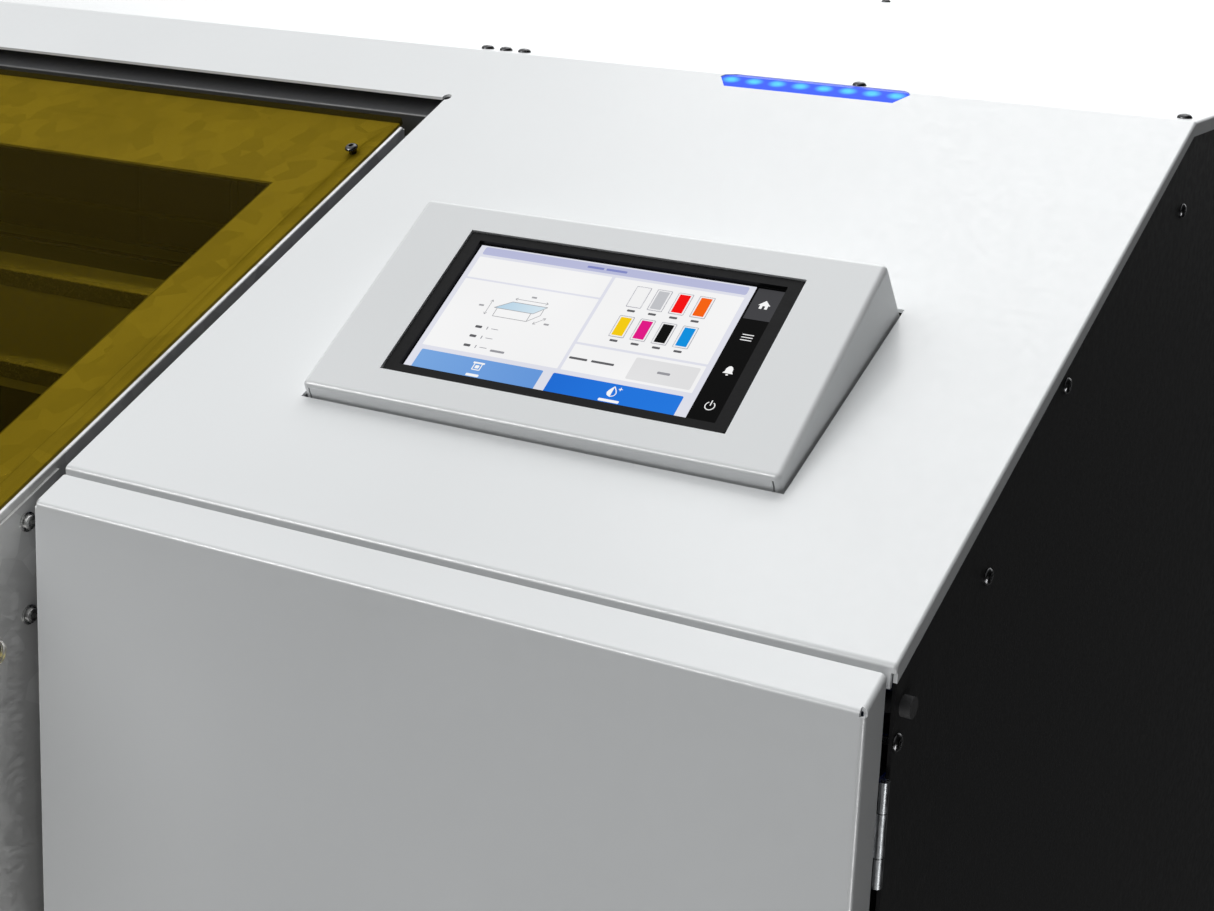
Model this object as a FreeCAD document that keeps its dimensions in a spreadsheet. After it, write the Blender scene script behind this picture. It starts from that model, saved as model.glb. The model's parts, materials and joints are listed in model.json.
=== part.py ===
import FreeCAD, Part
import os
import re
import Sketcher
from FreeCAD import Placement, Rotation, Vector

# Benchtop UV-LED flatbed printer.
# Row frame: +X to the machine's right, -Y to its front, +Z up; the origin is on the
# table under the middle of the machine.  Lengths are millimetres.
#
# "Slope frame": many pieces belong to the sloped front of the top cover.  Its origin is
# the cover's front right corner, x runs along the machine's width (so it is negative on
# the machine), y climbs the slope and z is normal to it.

SIZES = {
    # whole machine
    "overall_width": 1600,
    "rear_y": 550,
    "bay_front_y": -548,
    "frame_bottom": 40,
    "frame_top": 80,
    "frame_tube": 40,
    # top cover
    "slope_front_y": -385,
    "shoulder_height": 630,
    "slope_deg": 25.4,
    "slope_length": 369,
    "module_width": 387,
    "window_back": 318,
    "cover_sheet": 1.6,
    "side_lip": 7,
    "front_lip": 9,
    "rear_lip": 20,
    "window_lip": 6,
    "bend": 2.5,
    "panel_sheet": 1.6,
    # doors and fronts
    "door_depth": 17.4,
    "door_gap": 2.5,
    "door_drop": 2.6,
    "door_bottom": 62,
    "door_sheet": 1.5,
    "door_notch": 2.2,
    # hinges of the right door
    "hinge_x": 797,
    "hinge_y": -381.5,
    "knuckle_radius": 2.3,
    "pin_radius": 1,
    "pin_clearance": 0.05,
    "hinge_height": 41,
    "upper_hinge_z": 544,
    "lower_hinge_z": 120,
    # centre bay and lid
    "inner_plate_x": 394.5,
    "plate_sheet": 1.5,
    "bay_shelf_z": 523,
    "lid_width": 780.6,
    "lid_front": -165,
    "lid_back": 306,
    "lid_drop": 8,
    "amber_thick": 3,
    "lid_sheet": 1.5,
    "lid_window_width": 702,
    "lid_window_front": -110,
    "lid_window_back": 237,
    "lid_flange": 24,
    "lid_pivot_up": 300,
    "lid_pivot_drop": 18,
    "lid_pin_radius": 1.8,
    "strip_drop": 24,
    "ledge_drop": 9.5,
    "ledge_front": 312.5,
    # operator console
    "console_right": 77.3,
    "console_front": 73.5,
    "console_width": 231.4,
    "console_face": 118.1,
    "console_tilt": 10.7,
    "console_lip": 6.9,
    "console_foot": 122.2,
    "console_root": 8,
    "screen_right": 37.6,
    "screen_up": 20.7,
    "screen_width": 154,
    "screen_height": 77,
    "bezel_side": 6.5,
    "bezel_end": 4.5,
    # status lamp at the ridge
    "lamp_left": 246,
    "lamp_right": 141,
    "lamp_taper": 6,
    "lamp_front": 10,
    "lamp_rear": 6,
    # gantry and carriage
    "beam_y": 40,
    "beam_depth": 80,
    "beam_z": 500,
    "beam_height": 100,
    "post_x": 450,
    "head_bottom": 456,
    "carriage_park_x": 590,
    "pulley_radius": 15,
    "pulley_x": 745,
    # table
    "bed_width": 650,
    "bed_length": 500,
    "bed_low": 254,
    "bed_height": 32,
    "table_y": -240,
    "saddle_width": 730,
    "rail_height": 30,
    "drive_screw_rise": 25,
    "tower_x": 343,
    "tower_top": 446,
}


def named(text):
    """Write an expression of bare size names as one on the sheet's cells."""
    return re.sub(r"[a-z][a-z_]+", lambda word: sheet_name(word.group()), str(text))


def sheet_name(word):
    return f"Sizes.{word}" if word in SIZES else word


def number(text):
    """The present value of an expression, in millimetres or degrees."""
    result = sheet.evalExpression(named(text))
    return float(getattr(result, "Value", result))


def bind(thing, path, text):
    thing.setExpression(path, named(text))


# ---------------------------------------------------------------- places on the slope

def slope_y(up, normal=0):
    return f"(slope_front_y + ({up}) * cos(slope_deg) - ({normal}) * sin(slope_deg))"


def slope_z(up, normal=0):
    return f"(shoulder_height + ({up}) * sin(slope_deg) + ({normal}) * cos(slope_deg))"


def slope_z_at(y, normal=0):
    """Height of the slope's plane, moved out by normal, above a world y."""
    rise = f"(({y}) - slope_front_y) * tan(slope_deg)"
    return f"(shoulder_height + {rise} + ({normal}) / cos(slope_deg))"


RIDGE_Z = slope_z("slope_length")


def ridge_y(drop=0):
    """Where the slope meets the flat rear top, both lowered by drop."""
    back = f"({RIDGE_Z} - shoulder_height - ({drop}) + ({drop}) / cos(slope_deg))"
    return f"(slope_front_y + {back} / tan(slope_deg))"


def put_on_slope(thing):
    """Give a piece made in the slope frame its place on the machine."""
    corner = Vector(number("overall_width / 2"), number("slope_front_y"), number("shoulder_height"))
    thing.Placement = Placement(corner, Rotation(Vector(1, 0, 0), number("slope_deg")))
    bind(thing, "Placement.Base.x", "overall_width / 2")
    bind(thing, "Placement.Base.y", "slope_front_y")
    bind(thing, "Placement.Base.z", "shoulder_height")
    bind(thing, "Placement.Rotation.Angle", "slope_deg")
    return thing


# ---------------------------------------------------------------- Part primitives

TURNS = {
    "x": Rotation(Vector(0, 1, 0), 90),
    "y": Rotation(Vector(1, 0, 0), -90),
    "z": Rotation(),
}


def box(low, high):
    """A box between two corners, each given as three expressions."""
    solid = doc.addObject("Part::Box", "Box")
    for side, axis, start, end in zip(("Length", "Width", "Height"), "xyz", low, high):
        bind(solid, side, f"({end}) - ({start})")
        bind(solid, f"Placement.Base.{axis}", start)
    return solid


def cylinder(base, radius, length, axis="z"):
    """A cylinder that starts at base and runs along +axis."""
    solid = doc.addObject("Part::Cylinder", "Cylinder")
    solid.Placement = Placement(Vector(), TURNS[axis])
    bind(solid, "Radius", radius)
    bind(solid, "Height", length)
    for letter, start in zip("xyz", base):
        bind(solid, f"Placement.Base.{letter}", start)
    return solid


def join(*solids):
    result = doc.addObject("Part::MultiFuse", "Join")
    result.Shapes = list(solids)
    return result


def group(*solids):
    """Separate solids in one sub-part, such as a set of screws."""
    result = doc.addObject("Part::Compound", "Group")
    result.Links = list(solids)
    return result


def cut(base, *tools):
    result = doc.addObject("Part::Cut", "Cut")
    result.Base = base
    result.Tool = tools[0] if len(tools) == 1 else join(*tools)
    return result


# ---------------------------------------------------------------- PartDesign features

def new_body():
    return doc.addObject("PartDesign::Body", "Body")


def new_sketch(body, role, offset):
    """A sketch on one of the body's own origin planes, moved along its normal."""
    sketch = body.newObject("Sketcher::SketchObject", "Sketch")
    plane = [item for item in body.Origin.OriginFeatures if item.Role == role][0]
    sketch.AttachmentSupport = [(plane, "")]
    sketch.MapMode = "FlatFace"
    bind(sketch, "AttachmentOffset.Base.z", offset)
    return sketch


def dimension(sketch, kind, geometry, point, text):
    """A horizontal or vertical distance from the sketch's origin, bound to the sheet."""
    sketch.addConstraint(Sketcher.Constraint(kind, -1, 1, geometry, point, number(text)))
    bind(sketch, f"Constraints[{sketch.ConstraintCount - 1}]", text)


def draw_polygon(sketch, corners):
    """A closed outline whose every corner is placed by two bound dimensions."""
    points = [Vector(number(u), number(v), 0) for u, v in corners]
    first = sketch.GeometryCount
    count = len(points)
    for index, start in enumerate(points):
        sketch.addGeometry(Part.LineSegment(start, points[(index + 1) % count]), False)
    for index in range(count):
        following = first + (index + 1) % count
        sketch.addConstraint(Sketcher.Constraint("Coincident", first + index, 2, following, 1))
    for index, (u, v) in enumerate(corners):
        dimension(sketch, "DistanceX", first + index, 1, u)
        dimension(sketch, "DistanceY", first + index, 1, v)


def draw_circle(sketch, centre, radius):
    place = Vector(number(centre[0]), number(centre[1]), 0)
    index = sketch.addGeometry(Part.Circle(place, Vector(0, 0, 1), number(radius)), False)
    sketch.addConstraint(Sketcher.Constraint("Radius", index, number(radius)))
    bind(sketch, f"Constraints[{sketch.ConstraintCount - 1}]", radius)
    dimension(sketch, "DistanceX", index, 3, centre[0])
    dimension(sketch, "DistanceY", index, 3, centre[1])


def extrude(body, kind, plane, low, high, outlines=(), circles=()):
    """Pad or pocket the outlines between two positions along the plane's normal axis."""
    flipped = plane == "XZ"
    near_end = (kind == "Pad") != flipped
    offset = low if near_end else high
    sketch = new_sketch(body, f"{plane}_Plane", f"-({offset})" if flipped else offset)
    for corners in outlines:
        draw_polygon(sketch, corners)
    for centre, radius in circles:
        draw_circle(sketch, centre, radius)
    before = body.Shape.Volume if kind == "Pocket" else None
    feature = body.newObject(f"PartDesign::{kind}", kind)
    feature.Profile = sketch
    bind(feature, "Length", f"({high}) - ({low})")
    doc.recompute()
    if before is not None and body.Shape.Volume > before - 0.1:
        raise RuntimeError(f"{body.Label}: the pocket cuts nothing")
    return feature


def rectangle(u_low, u_high, v_low, v_high):
    return [(u_low, v_low), (u_high, v_low), (u_high, v_high), (u_low, v_high)]


def round_edges(body, radius, wanted):
    """Fillet the edges of the body's tip for which wanted(edge) is true."""
    tip = body.Tip
    names = [f"Edge{i}" for i, edge in enumerate(tip.Shape.Edges, 1) if wanted(edge)]
    if not names:
        raise RuntimeError(f"{body.Label}: no edge to round")
    fillet = body.newObject("PartDesign::Fillet", "Fillet")
    fillet.Base = (tip, names)
    bind(fillet, "Radius", radius)
    doc.recompute()
    return fillet


def near(value, text, slack=0.05):
    return abs(value - number(text)) < slack


def middle(edge):
    return edge.valueAt((edge.FirstParameter + edge.LastParameter) / 2)


def runs_along(edge, direction):
    """True for a straight edge parallel to the direction."""
    if edge.Curve.TypeId != "Part::GeomLine":
        return False
    return abs(edge.tangentAt(edge.FirstParameter).dot(direction)) > 0.9999


# ---------------------------------------------------------------- sub-part list

nodes = []


def keep(name, thing):
    """Make a finished object one of the machine's sub-parts."""
    thing.Label = name
    nodes.append(thing)
    return thing


doc = FreeCAD.newDocument("flatbed_printer")
sheet = doc.addObject("Spreadsheet::Sheet", "Sizes")
for row, (alias, size) in enumerate(SIZES.items(), 1):
    sheet.set(f"A{row}", alias)
    sheet.set(f"B{row}", str(size))
    sheet.setAlias(f"B{row}", alias)
doc.recompute()

HALF = "overall_width / 2"
MODULE_X = "(overall_width / 2 - module_width)"
SIDES = (1, -1)


def sided(side, low, high):
    """The two ends of a right-hand span, or of its mirror image on the left."""
    return (low, high) if side > 0 else (f"-({high})", f"-({low})")


# ---------------------------------------------------------------- base

def base_frame():
    """Welded tube frame with a shelf in each side module and a floor pan under the centre bay."""
    tube = "frame_tube"
    low, high = "frame_bottom", "frame_top"
    tubes = [
        box(("-790", "-378", low), ("790", f"-378 + {tube}", high)),
        box(("-790", "506", low), ("790", "546", high)),
        box(("-392", "-545", low), ("392", f"-545 + {tube}", high)),
    ]
    for side in SIDES:
        for inner, front, rear in (("750", "-378", "546"), ("352", "-545", "546"), ("150", "-545", "546")):
            x_low, x_high = sided(side, inner, f"{inner} + {tube}")
            tubes.append(box((x_low, front, low), (x_high, rear, high)))
        x_low, x_high = sided(side, "400", "790")
        tubes.append(box((x_low, "-378", "frame_top - 3"), (x_high, "546", high)))
    floor_pan = box(("-360", "-520", low), ("360", "520", "frame_bottom + panel_sheet"))
    keep("base_frame", join(*tubes, floor_pan))


def levelling_feet():
    feet = []
    for side in SIDES:
        for x, y in ((740, -340), (740, 500), (340, -515)):
            pad = cylinder((side * x, y, "0"), 25, 12)
            stem = cylinder((side * x, y, "10"), 6, "frame_bottom - 10")
            feet.append(join(pad, stem))
    keep("levelling_feet", group(*feet))


# ---------------------------------------------------------------- outer panels

SIDE_SCREWS = (("95.1", "4.7"), ("174.8", "64.1"), ("331.4", "116.3"), ("560", "116"),
               ("800", "116"), ("60", "-330"), ("400", "-330"), ("800", "-330"))
DOOR_SCREW = ("10.5", "-32.7")
BUMPER = ("14.6", "-20.1")


def side_place(up_to):
    """World y and z of a point measured from the shoulder corner."""
    return f"slope_front_y + {up_to[0]}", f"shoulder_height + {up_to[1]}"


def side_panels():
    """Black side sheets whose top follows the cover 3 mm below its outer face."""
    front = "slope_front_y + 7"
    outline = [
        (front, "frame_bottom"),
        ("rear_y - 4", "frame_bottom"),
        ("rear_y - 4", f"{RIDGE_Z} - 3"),
        (ridge_y(-3), f"{RIDGE_Z} - 3"),
        (front, slope_z_at(front, -3)),
    ]
    for side, name in zip(SIDES, ("right_side_panel", "left_side_panel")):
        body = new_body()
        outer = f"{HALF} - cover_sheet - 0.5"
        low, high = sided(side, f"{outer} - panel_sheet", outer)
        extrude(body, "Pad", "YZ", low, high, [outline])
        holes = [(side_place(place), "2.2") for place in SIDE_SCREWS + (DOOR_SCREW,)]
        holes.append((side_place(BUMPER), "4.05"))
        extrude(body, "Pocket", "YZ", low, high, circles=holes)
        keep(name, body)


def panel_screws():
    """Black button-head screws of the side panels and of the cover's flat rear top."""
    screws = []
    for side in SIDES:
        outer = f"{HALF} - cover_sheet - 0.5"
        for place in SIDE_SCREWS + (DOOR_SCREW,):
            y, z = side_place(place)
            head_x = sided(side, outer, f"{outer} + 1.8")[0]
            shank_x = sided(side, f"{outer} - 6", outer)[0]
            head = cylinder((head_x, y, z), "3.6", "1.8", "x")
            screws.append(join(head, cylinder((shank_x, y, z), "1.95", "6.2", "x")))
    for x, y in cover_screw_places():
        head = cylinder((x, y, RIDGE_Z), "3.6", "2.2")
        screws.append(join(head, cylinder((x, y, f"{RIDGE_Z} - 8"), "1.95", "8.2")))
    keep("panel_screws", group(*screws))


def door_bumpers():
    """Black round buffers in the side panels, just behind the hinge line."""
    pads = []
    for side in SIDES:
        y, z = side_place(BUMPER)
        low, high = sided(side, f"{HALF} - 14", f"{HALF} + 2")
        pads.append(cylinder((low, y, z), "4", f"({high}) - ({low})", "x"))
    keep("door_bumpers", group(*pads))


FAN_X = "300"
FAN_Z = "560"
FAN_RADIUS = "56"
INLET = ("500", "528", "116", "140")
SWITCH = ("552", "580", "117", "139")
PORTS = ("630", "690", "118", "138")
CONNECTION_PLATE = ("488", "702", "frame_bottom", "152")


def rear_panel():
    """Flat black back with two fan openings and a notch for the connection plate."""
    body = new_body()
    extrude(body, "Pad", "XZ", "rear_y - 4", "rear_y - 2.4",
            [rectangle("-796", "796", "frame_bottom", f"{RIDGE_Z} - 3")])
    fans = [((f"{side} * {FAN_X}", FAN_Z), FAN_RADIUS) for side in SIDES]
    left, right, low, high = CONNECTION_PLATE
    notch = rectangle(left, right, f"{low} - 1", high)
    extrude(body, "Pocket", "XZ", "rear_y - 5", "rear_y - 2", [notch], fans)
    keep("rear_panel", body)


COVER_SCREWS = ("397", "385", "373", "173", "8")


def cover_screw_places():
    """Plan places of the screws on the flat rear top: a row at the ridge, one at the back."""
    places = []
    for side in SIDES:
        for inset in COVER_SCREWS:
            places.append((f"{side} * ({HALF} - {inset})", f"{ridge_y()} + 9"))
        for x in ("100", "400", "792"):
            places.append((f"{side} * {x}", "rear_y - 12"))
    return places


def console_opening():
    """Plan outline of the hole in the cover that the console comes up through."""
    return rectangle(
        f"{HALF} - console_right - console_width - 1.2",
        f"{HALF} - console_right + 1.2",
        slope_y("console_front - 1.2"),
        slope_y("console_front + console_foot + 1.4"),
    )


def lamp_outline(margin):
    """Plan outline of the status lamp, a bar across the ridge with pointed ends."""
    left = f"{HALF} - lamp_left + {margin}"
    right = f"{HALF} - lamp_right - {margin}"
    front = f"{ridge_y()} - lamp_front + {margin}"
    rear = f"{ridge_y()} + lamp_rear - {margin}"
    waist = f"{ridge_y()} - 2"
    return [
        (left, waist), (f"{left} + lamp_taper", front), (f"{right} - lamp_taper", front),
        (right, waist), (f"{right} - lamp_taper", rear), (f"{left} + lamp_taper", rear),
    ]


def top_cover():
    """One folded sheet: sloped front, flat rear top, lips all round, an open centre window."""
    body = new_body()
    sheet_in = "cover_sheet"
    front, rear = "slope_front_y", "rear_y"
    outline = [
        (front, "shoulder_height - front_lip"),
        (front, "shoulder_height"),
        (ridge_y(), RIDGE_Z),
        (rear, RIDGE_Z),
        (rear, f"{RIDGE_Z} - rear_lip"),
        (f"{rear} - {sheet_in}", f"{RIDGE_Z} - rear_lip"),
        (f"{rear} - {sheet_in}", f"{RIDGE_Z} - side_lip"),
        (ridge_y("-side_lip"), f"{RIDGE_Z} - side_lip"),
        (f"{front} + {sheet_in}", slope_z_at(f"{front} + {sheet_in}", "-side_lip")),
        (f"{front} + {sheet_in}", "shoulder_height - front_lip"),
    ]
    extrude(body, "Pad", "YZ", f"-({HALF})", HALF, [outline])
    along = Vector(1, 0, 0)
    bends = ((front, "shoulder_height"), (ridge_y(), RIDGE_Z), (rear, RIDGE_Z))

    def is_bend(edge):
        place = middle(edge)
        return runs_along(edge, along) and any(near(place.y, y) and near(place.z, z) for y, z in bends)

    round_edges(body, "bend", is_bend)

    def is_side(edge):
        place = middle(edge)
        flat = near(abs(place.x), HALF) and abs(edge.BoundBox.XLength) < 0.01
        top = number(slope_z_at(place.y)) if place.y < number(ridge_y()) else number(RIDGE_Z)
        return flat and place.z > top - 1.2

    round_edges(body, "1.4", is_side)
    hollow = [
        (f"{front} + {sheet_in}", "shoulder_height - 60"),
        (f"{front} + {sheet_in}", slope_z_at(f"{front} + {sheet_in}", f"-{sheet_in}")),
        (ridge_y(f"-{sheet_in}"), f"{RIDGE_Z} - {sheet_in}"),
        (f"{rear} - {sheet_in}", f"{RIDGE_Z} - {sheet_in}"),
        (f"{rear} - {sheet_in}", "shoulder_height - 60"),
    ]
    extrude(body, "Pocket", "YZ", f"-({HALF}) + {sheet_in}", f"{HALF} - {sheet_in}", [hollow])
    window = rectangle(f"-{MODULE_X}", MODULE_X, f"{front} - 20", slope_y("window_back"))
    reliefs = [((f"{side} * {MODULE_X}", slope_y("window_back + 0.8")), "2.5") for side in SIDES]
    extrude(body, "Pocket", "XY", "shoulder_height - 60", f"{RIDGE_Z} + 5", [window])
    for side in SIDES:
        low, high = sided(side, MODULE_X, f"{MODULE_X} + {sheet_in}")
        lip = [
            (slope_y("2", "-1"), slope_z("2", "-1")),
            (slope_y("window_back", "-1"), slope_z("window_back", "-1")),
            (slope_y("window_back", "-window_lip"), slope_z("window_back", "-window_lip")),
            (slope_y("2", "-window_lip"), slope_z("2", "-window_lip")),
        ]
        extrude(body, "Pad", "YZ", low, high, [lip])
    screw_holes = [(place, "2.2") for place in cover_screw_places()]
    extrude(body, "Pocket", "XY", "shoulder_height - 60", f"{RIDGE_Z} + 5", [console_opening()],
            screw_holes)
    extrude(body, "Pocket", "XY", "shoulder_height - 60", f"{RIDGE_Z} + 5", [lamp_outline("0")], reliefs)
    corners = []
    for side in SIDES:
        low, high = sided(side, f"{HALF} - {sheet_in} - 0.4", f"{HALF} + 1")
        corners.append(rectangle(low, high, f"{front} - 1", f"{front} + {sheet_in}"))
    extrude(body, "Pocket", "XY", "shoulder_height - 60", "shoulder_height - 3", corners)
    keep("top_cover", body)


def status_lamp():
    """Blue diffuser bar that fills the slot in the ridge."""
    lens = new_body()
    top = "-0.5"
    section = [
        (f"{ridge_y()} - 40", slope_z_at(f"{ridge_y()} - 40", top)),
        (ridge_y(top), f"{RIDGE_Z} + ({top})"),
        (f"{ridge_y()} + 40", f"{RIDGE_Z} + ({top})"),
        (f"{ridge_y()} + 40", f"{RIDGE_Z} - 14"),
        (f"{ridge_y()} - 40", f"{RIDGE_Z} - 30"),
    ]
    extrude(lens, "Pad", "YZ", f"{HALF} - lamp_left", f"{HALF} - lamp_right", [section])
    frame = rectangle("0", HALF, f"{ridge_y()} - 60", f"{ridge_y()} + 60")
    extrude(lens, "Pocket", "XY", f"{RIDGE_Z} - 60", f"{RIDGE_Z} + 5", [frame, lamp_outline("0.3")])
    keep("status_lens", lens)


# ---------------------------------------------------------------- doors and fronts

DOOR_BACK = "(slope_front_y - door_gap)"
DOOR_FRONT = "(slope_front_y - door_gap - door_depth)"


def door_tray(name, x_low, x_high):
    """A folded tray: flat face, sloping top, sides and bottom turned back, rear open,
    with a small notch where the folds meet at each top corner."""
    body = new_body()
    rise = "door_depth * tan(slope_deg)"
    top_back = "(shoulder_height - door_drop)"
    outline = [
        (DOOR_BACK, "door_bottom"),
        (DOOR_FRONT, "door_bottom"),
        (DOOR_FRONT, f"{top_back} - {rise}"),
        (DOOR_BACK, top_back),
    ]
    extrude(body, "Pad", "YZ", x_low, x_high, [outline])

    def is_front(edge):
        place = middle(edge)
        across = near(place.y, DOOR_FRONT)
        corner = abs(edge.BoundBox.YLength) > 1 and place.z > number("shoulder_height") - 60
        return across or corner

    round_edges(body, "2.2", is_front)
    inner_back = f"{DOOR_BACK} + 1"
    inner_front = f"{DOOR_FRONT} + door_sheet"
    inner_top = f"{top_back} - door_sheet / cos(slope_deg)"
    hollow = [
        (inner_back, "door_bottom + door_sheet"),
        (inner_front, "door_bottom + door_sheet"),
        (inner_front, f"{inner_top} - {rise} + door_sheet * tan(slope_deg)"),
        (inner_back, f"{inner_top} + tan(slope_deg)"),
    ]
    extrude(body, "Pocket", "YZ", f"{x_low} + door_sheet", f"{x_high} - door_sheet", [hollow])
    corner = f"{top_back} - {rise}"
    notches = [
        rectangle(f"{x_low} - 1", f"{x_low} + door_notch", f"{corner} - door_notch", f"{corner} + 2"),
        rectangle(f"{x_high} - door_notch", f"{x_high} + 1", f"{corner} - door_notch", f"{corner} + 2"),
    ]
    extrude(body, "Pocket", "XZ", f"{DOOR_FRONT} - 1", f"{DOOR_FRONT} + door_notch", notches)
    return keep(name, body)


def doors():
    door_tray("right_door", MODULE_X, f"{HALF} - 2.5")
    door_tray("left_front_cover", f"-({HALF}) + 2.5", f"-{MODULE_X}")


KNUCKLES = (("0", "11.6"), ("11.9", "28.9"), ("29.2", "41"))


def hinge(base_z):
    """One door hinge: the frame's leaf with two knuckles, the door's with one, and the pin."""
    leaf_x = "795.9 - 1.2"
    top_z = f"{base_z} + hinge_height"

    def knuckle(index):
        low, high = KNUCKLES[index]
        return cylinder(("hinge_x", "hinge_y", f"{base_z} + {low}"), "knuckle_radius",
                        f"{high} - {low}")

    def tab(index, y_low, y_high):
        low, high = KNUCKLES[index]
        return box((leaf_x, y_low, f"{base_z} + {low}"), ("795.9", y_high, f"{base_z} + {high}"))

    def bore():
        return cylinder(("hinge_x", "hinge_y", f"{base_z} - 1"), "pin_radius + pin_clearance",
                        "hinge_height + 2")

    clear = "(knuckle_radius + 0.4)"
    frame_leaf = cut(join(
        knuckle(0), knuckle(2), tab(0, "hinge_y", "hinge_y + 5"), tab(2, "hinge_y", "hinge_y + 5"),
        box((leaf_x, f"hinge_y + {clear}", base_z), ("795.9", "hinge_y + 30", top_z)),
    ), bore())
    door_leaf = cut(join(
        knuckle(1), tab(1, "hinge_y - 8", "hinge_y"),
        box((leaf_x, "hinge_y - 20", base_z), ("795.9", f"hinge_y - {clear}", top_z)),
    ), bore())
    pin = cylinder(("hinge_x", "hinge_y", f"{base_z} - 0.5"), "pin_radius", "hinge_height + 1")
    return frame_leaf, door_leaf, pin


def hinges():
    door_hinges = [hinge("upper_hinge_z"), hinge("lower_hinge_z")]
    frame_leaves, door_leaves, door_pins = zip(*door_hinges)
    keep("frame_leaves", group(*frame_leaves))
    keep("door_leaves", group(*door_leaves))
    lid_pins = lid_hinges()
    keep("hinge_pins", group(*door_pins, lid_pins))


# ---------------------------------------------------------------- centre bay

BAY_SCREWS = (("-8", "-26"), ("-8", "-69"), ("-8", "-250"), ("-8", "-430"),
              ("-140", "-250"), ("-140", "-430"))
BAY_HOLE = ("-28", "-81")


def inner_plates():
    """Galvanised chamber walls; their top edge is folded in beside the lid."""
    top = "-(lid_drop + 1.6)"
    outline = [
        (slope_y("298", top), slope_z("298", top)),
        (slope_y("lid_front", top), slope_z("lid_front", top)),
        ("bay_front_y + 3", "bay_shelf_z - 2"),
        ("bay_front_y + 3", "frame_top"),
        (slope_y("298", top), "frame_top"),
    ]
    fold = [
        (slope_y("297", "-lid_drop"), slope_z("297", "-lid_drop")),
        (slope_y("lid_front", "-lid_drop"), slope_z("lid_front", "-lid_drop")),
        (slope_y("lid_front", "-(lid_drop + 1.7)"), slope_z("lid_front", "-(lid_drop + 1.7)")),
        (slope_y("297", "-(lid_drop + 1.7)"), slope_z("297", "-(lid_drop + 1.7)")),
    ]
    plates = []
    for side in SIDES:
        body = new_body()
        low, high = sided(side, "inner_plate_x", "inner_plate_x + plate_sheet")
        extrude(body, "Pad", "YZ", low, high, [outline])
        fold_low, fold_high = sided(side, "inner_plate_x - 1", "inner_plate_x + plate_sheet")
        extrude(body, "Pad", "YZ", fold_low, fold_high, [fold])

        def is_fold_rim(edge):
            place = middle(edge)
            rise = place.z - number(slope_z_at(place.y, "-lid_drop"))
            return abs(rise) < 0.05 and edge.Length > 100

        round_edges(body, "0.9", is_fold_rim)
        holes = [(side_place(place), "2.2") for place in BAY_SCREWS]
        holes.append((side_place(BAY_HOLE), "5.5"))
        extrude(body, "Pocket", "YZ", fold_low, fold_high, circles=holes)
        plates.append(body)
    keep("inner_plates", group(*plates))


def bay_plates():
    """Second galvanised sheet outside each chamber wall, on the part that stands forward."""
    top = "-(lid_drop + 3.3)"
    outline = [
        (slope_y("8", top), slope_z("8", top)),
        (slope_y("lid_front + 2", top), slope_z("lid_front + 2", top)),
        ("bay_front_y + 3", "bay_shelf_z - 4"),
        ("bay_front_y + 3", "frame_top"),
        (slope_y("8", top), "frame_top"),
    ]
    plates = []
    for side in SIDES:
        body = new_body()
        inner = "inner_plate_x + plate_sheet"
        low, high = sided(side, inner, f"{inner} + plate_sheet")
        extrude(body, "Pad", "YZ", low, high, [outline])
        holes = [(side_place(place), "2.2") for place in BAY_SCREWS]
        holes.append((side_place(BAY_HOLE), "6"))
        extrude(body, "Pocket", "YZ", low, high, circles=holes)
        plates.append(body)
    keep("bay_plates", group(*plates))


def bay_screws():
    """Pan-head screws with washers that hold the two sheets together."""
    screws = []
    outer = "inner_plate_x + plate_sheet * 2"
    for side in SIDES:
        for place in BAY_SCREWS:
            y, z = side_place(place)
            washer = cylinder((sided(side, outer, f"{outer} + 0.8")[0], y, z), "4.5", "0.8", "x")
            head = cylinder((sided(side, outer, f"{outer} + 2.9")[0], y, z), "3.3", "2.9", "x")
            shank = cylinder((sided(side, f"{outer} - 7", outer)[0], y, z), "1.95", "7.2", "x")
            screws.append(join(washer, head, shank))
    keep("bay_screws", group(*screws))


def front_cover():
    """White folded front of the centre bay with a ledge under the lid's front edge."""
    body = new_body()
    outline = [
        ("bay_front_y", "door_bottom"),
        ("bay_front_y + 2", "door_bottom"),
        ("bay_front_y + 2", "bay_shelf_z - 1.5"),
        ("bay_front_y + 48", "bay_shelf_z - 1.5"),
        ("bay_front_y + 48", "bay_shelf_z"),
        ("bay_front_y", "bay_shelf_z"),
    ]
    extrude(body, "Pad", "YZ", "-394", "394", [outline])
    along = Vector(1, 0, 0)

    def is_bend(edge):
        place = middle(edge)
        return runs_along(edge, along) and near(place.y, "bay_front_y") and near(place.z, "bay_shelf_z")

    round_edges(body, "1.9", is_bend)
    keep("front_cover", body)


# ---------------------------------------------------------------- lid

MIDDLE = "-(overall_width / 2)"
LID_TOP = "-lid_drop"
LID_UNDER = "-(lid_drop + amber_thick)"
LID_FRAME_UNDER = "-(lid_drop + amber_thick + lid_sheet)"
LID_SCREW_ROWS = (("379", "272.7"), ("379", "-140"), ("100", "272.7"), ("190", "-137"))
LID_SCREWS = [(f"{MIDDLE} + {side} * {x}", up) for side in SIDES for x, up in LID_SCREW_ROWS]
LID_HINGES = ("-300", "300")


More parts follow.
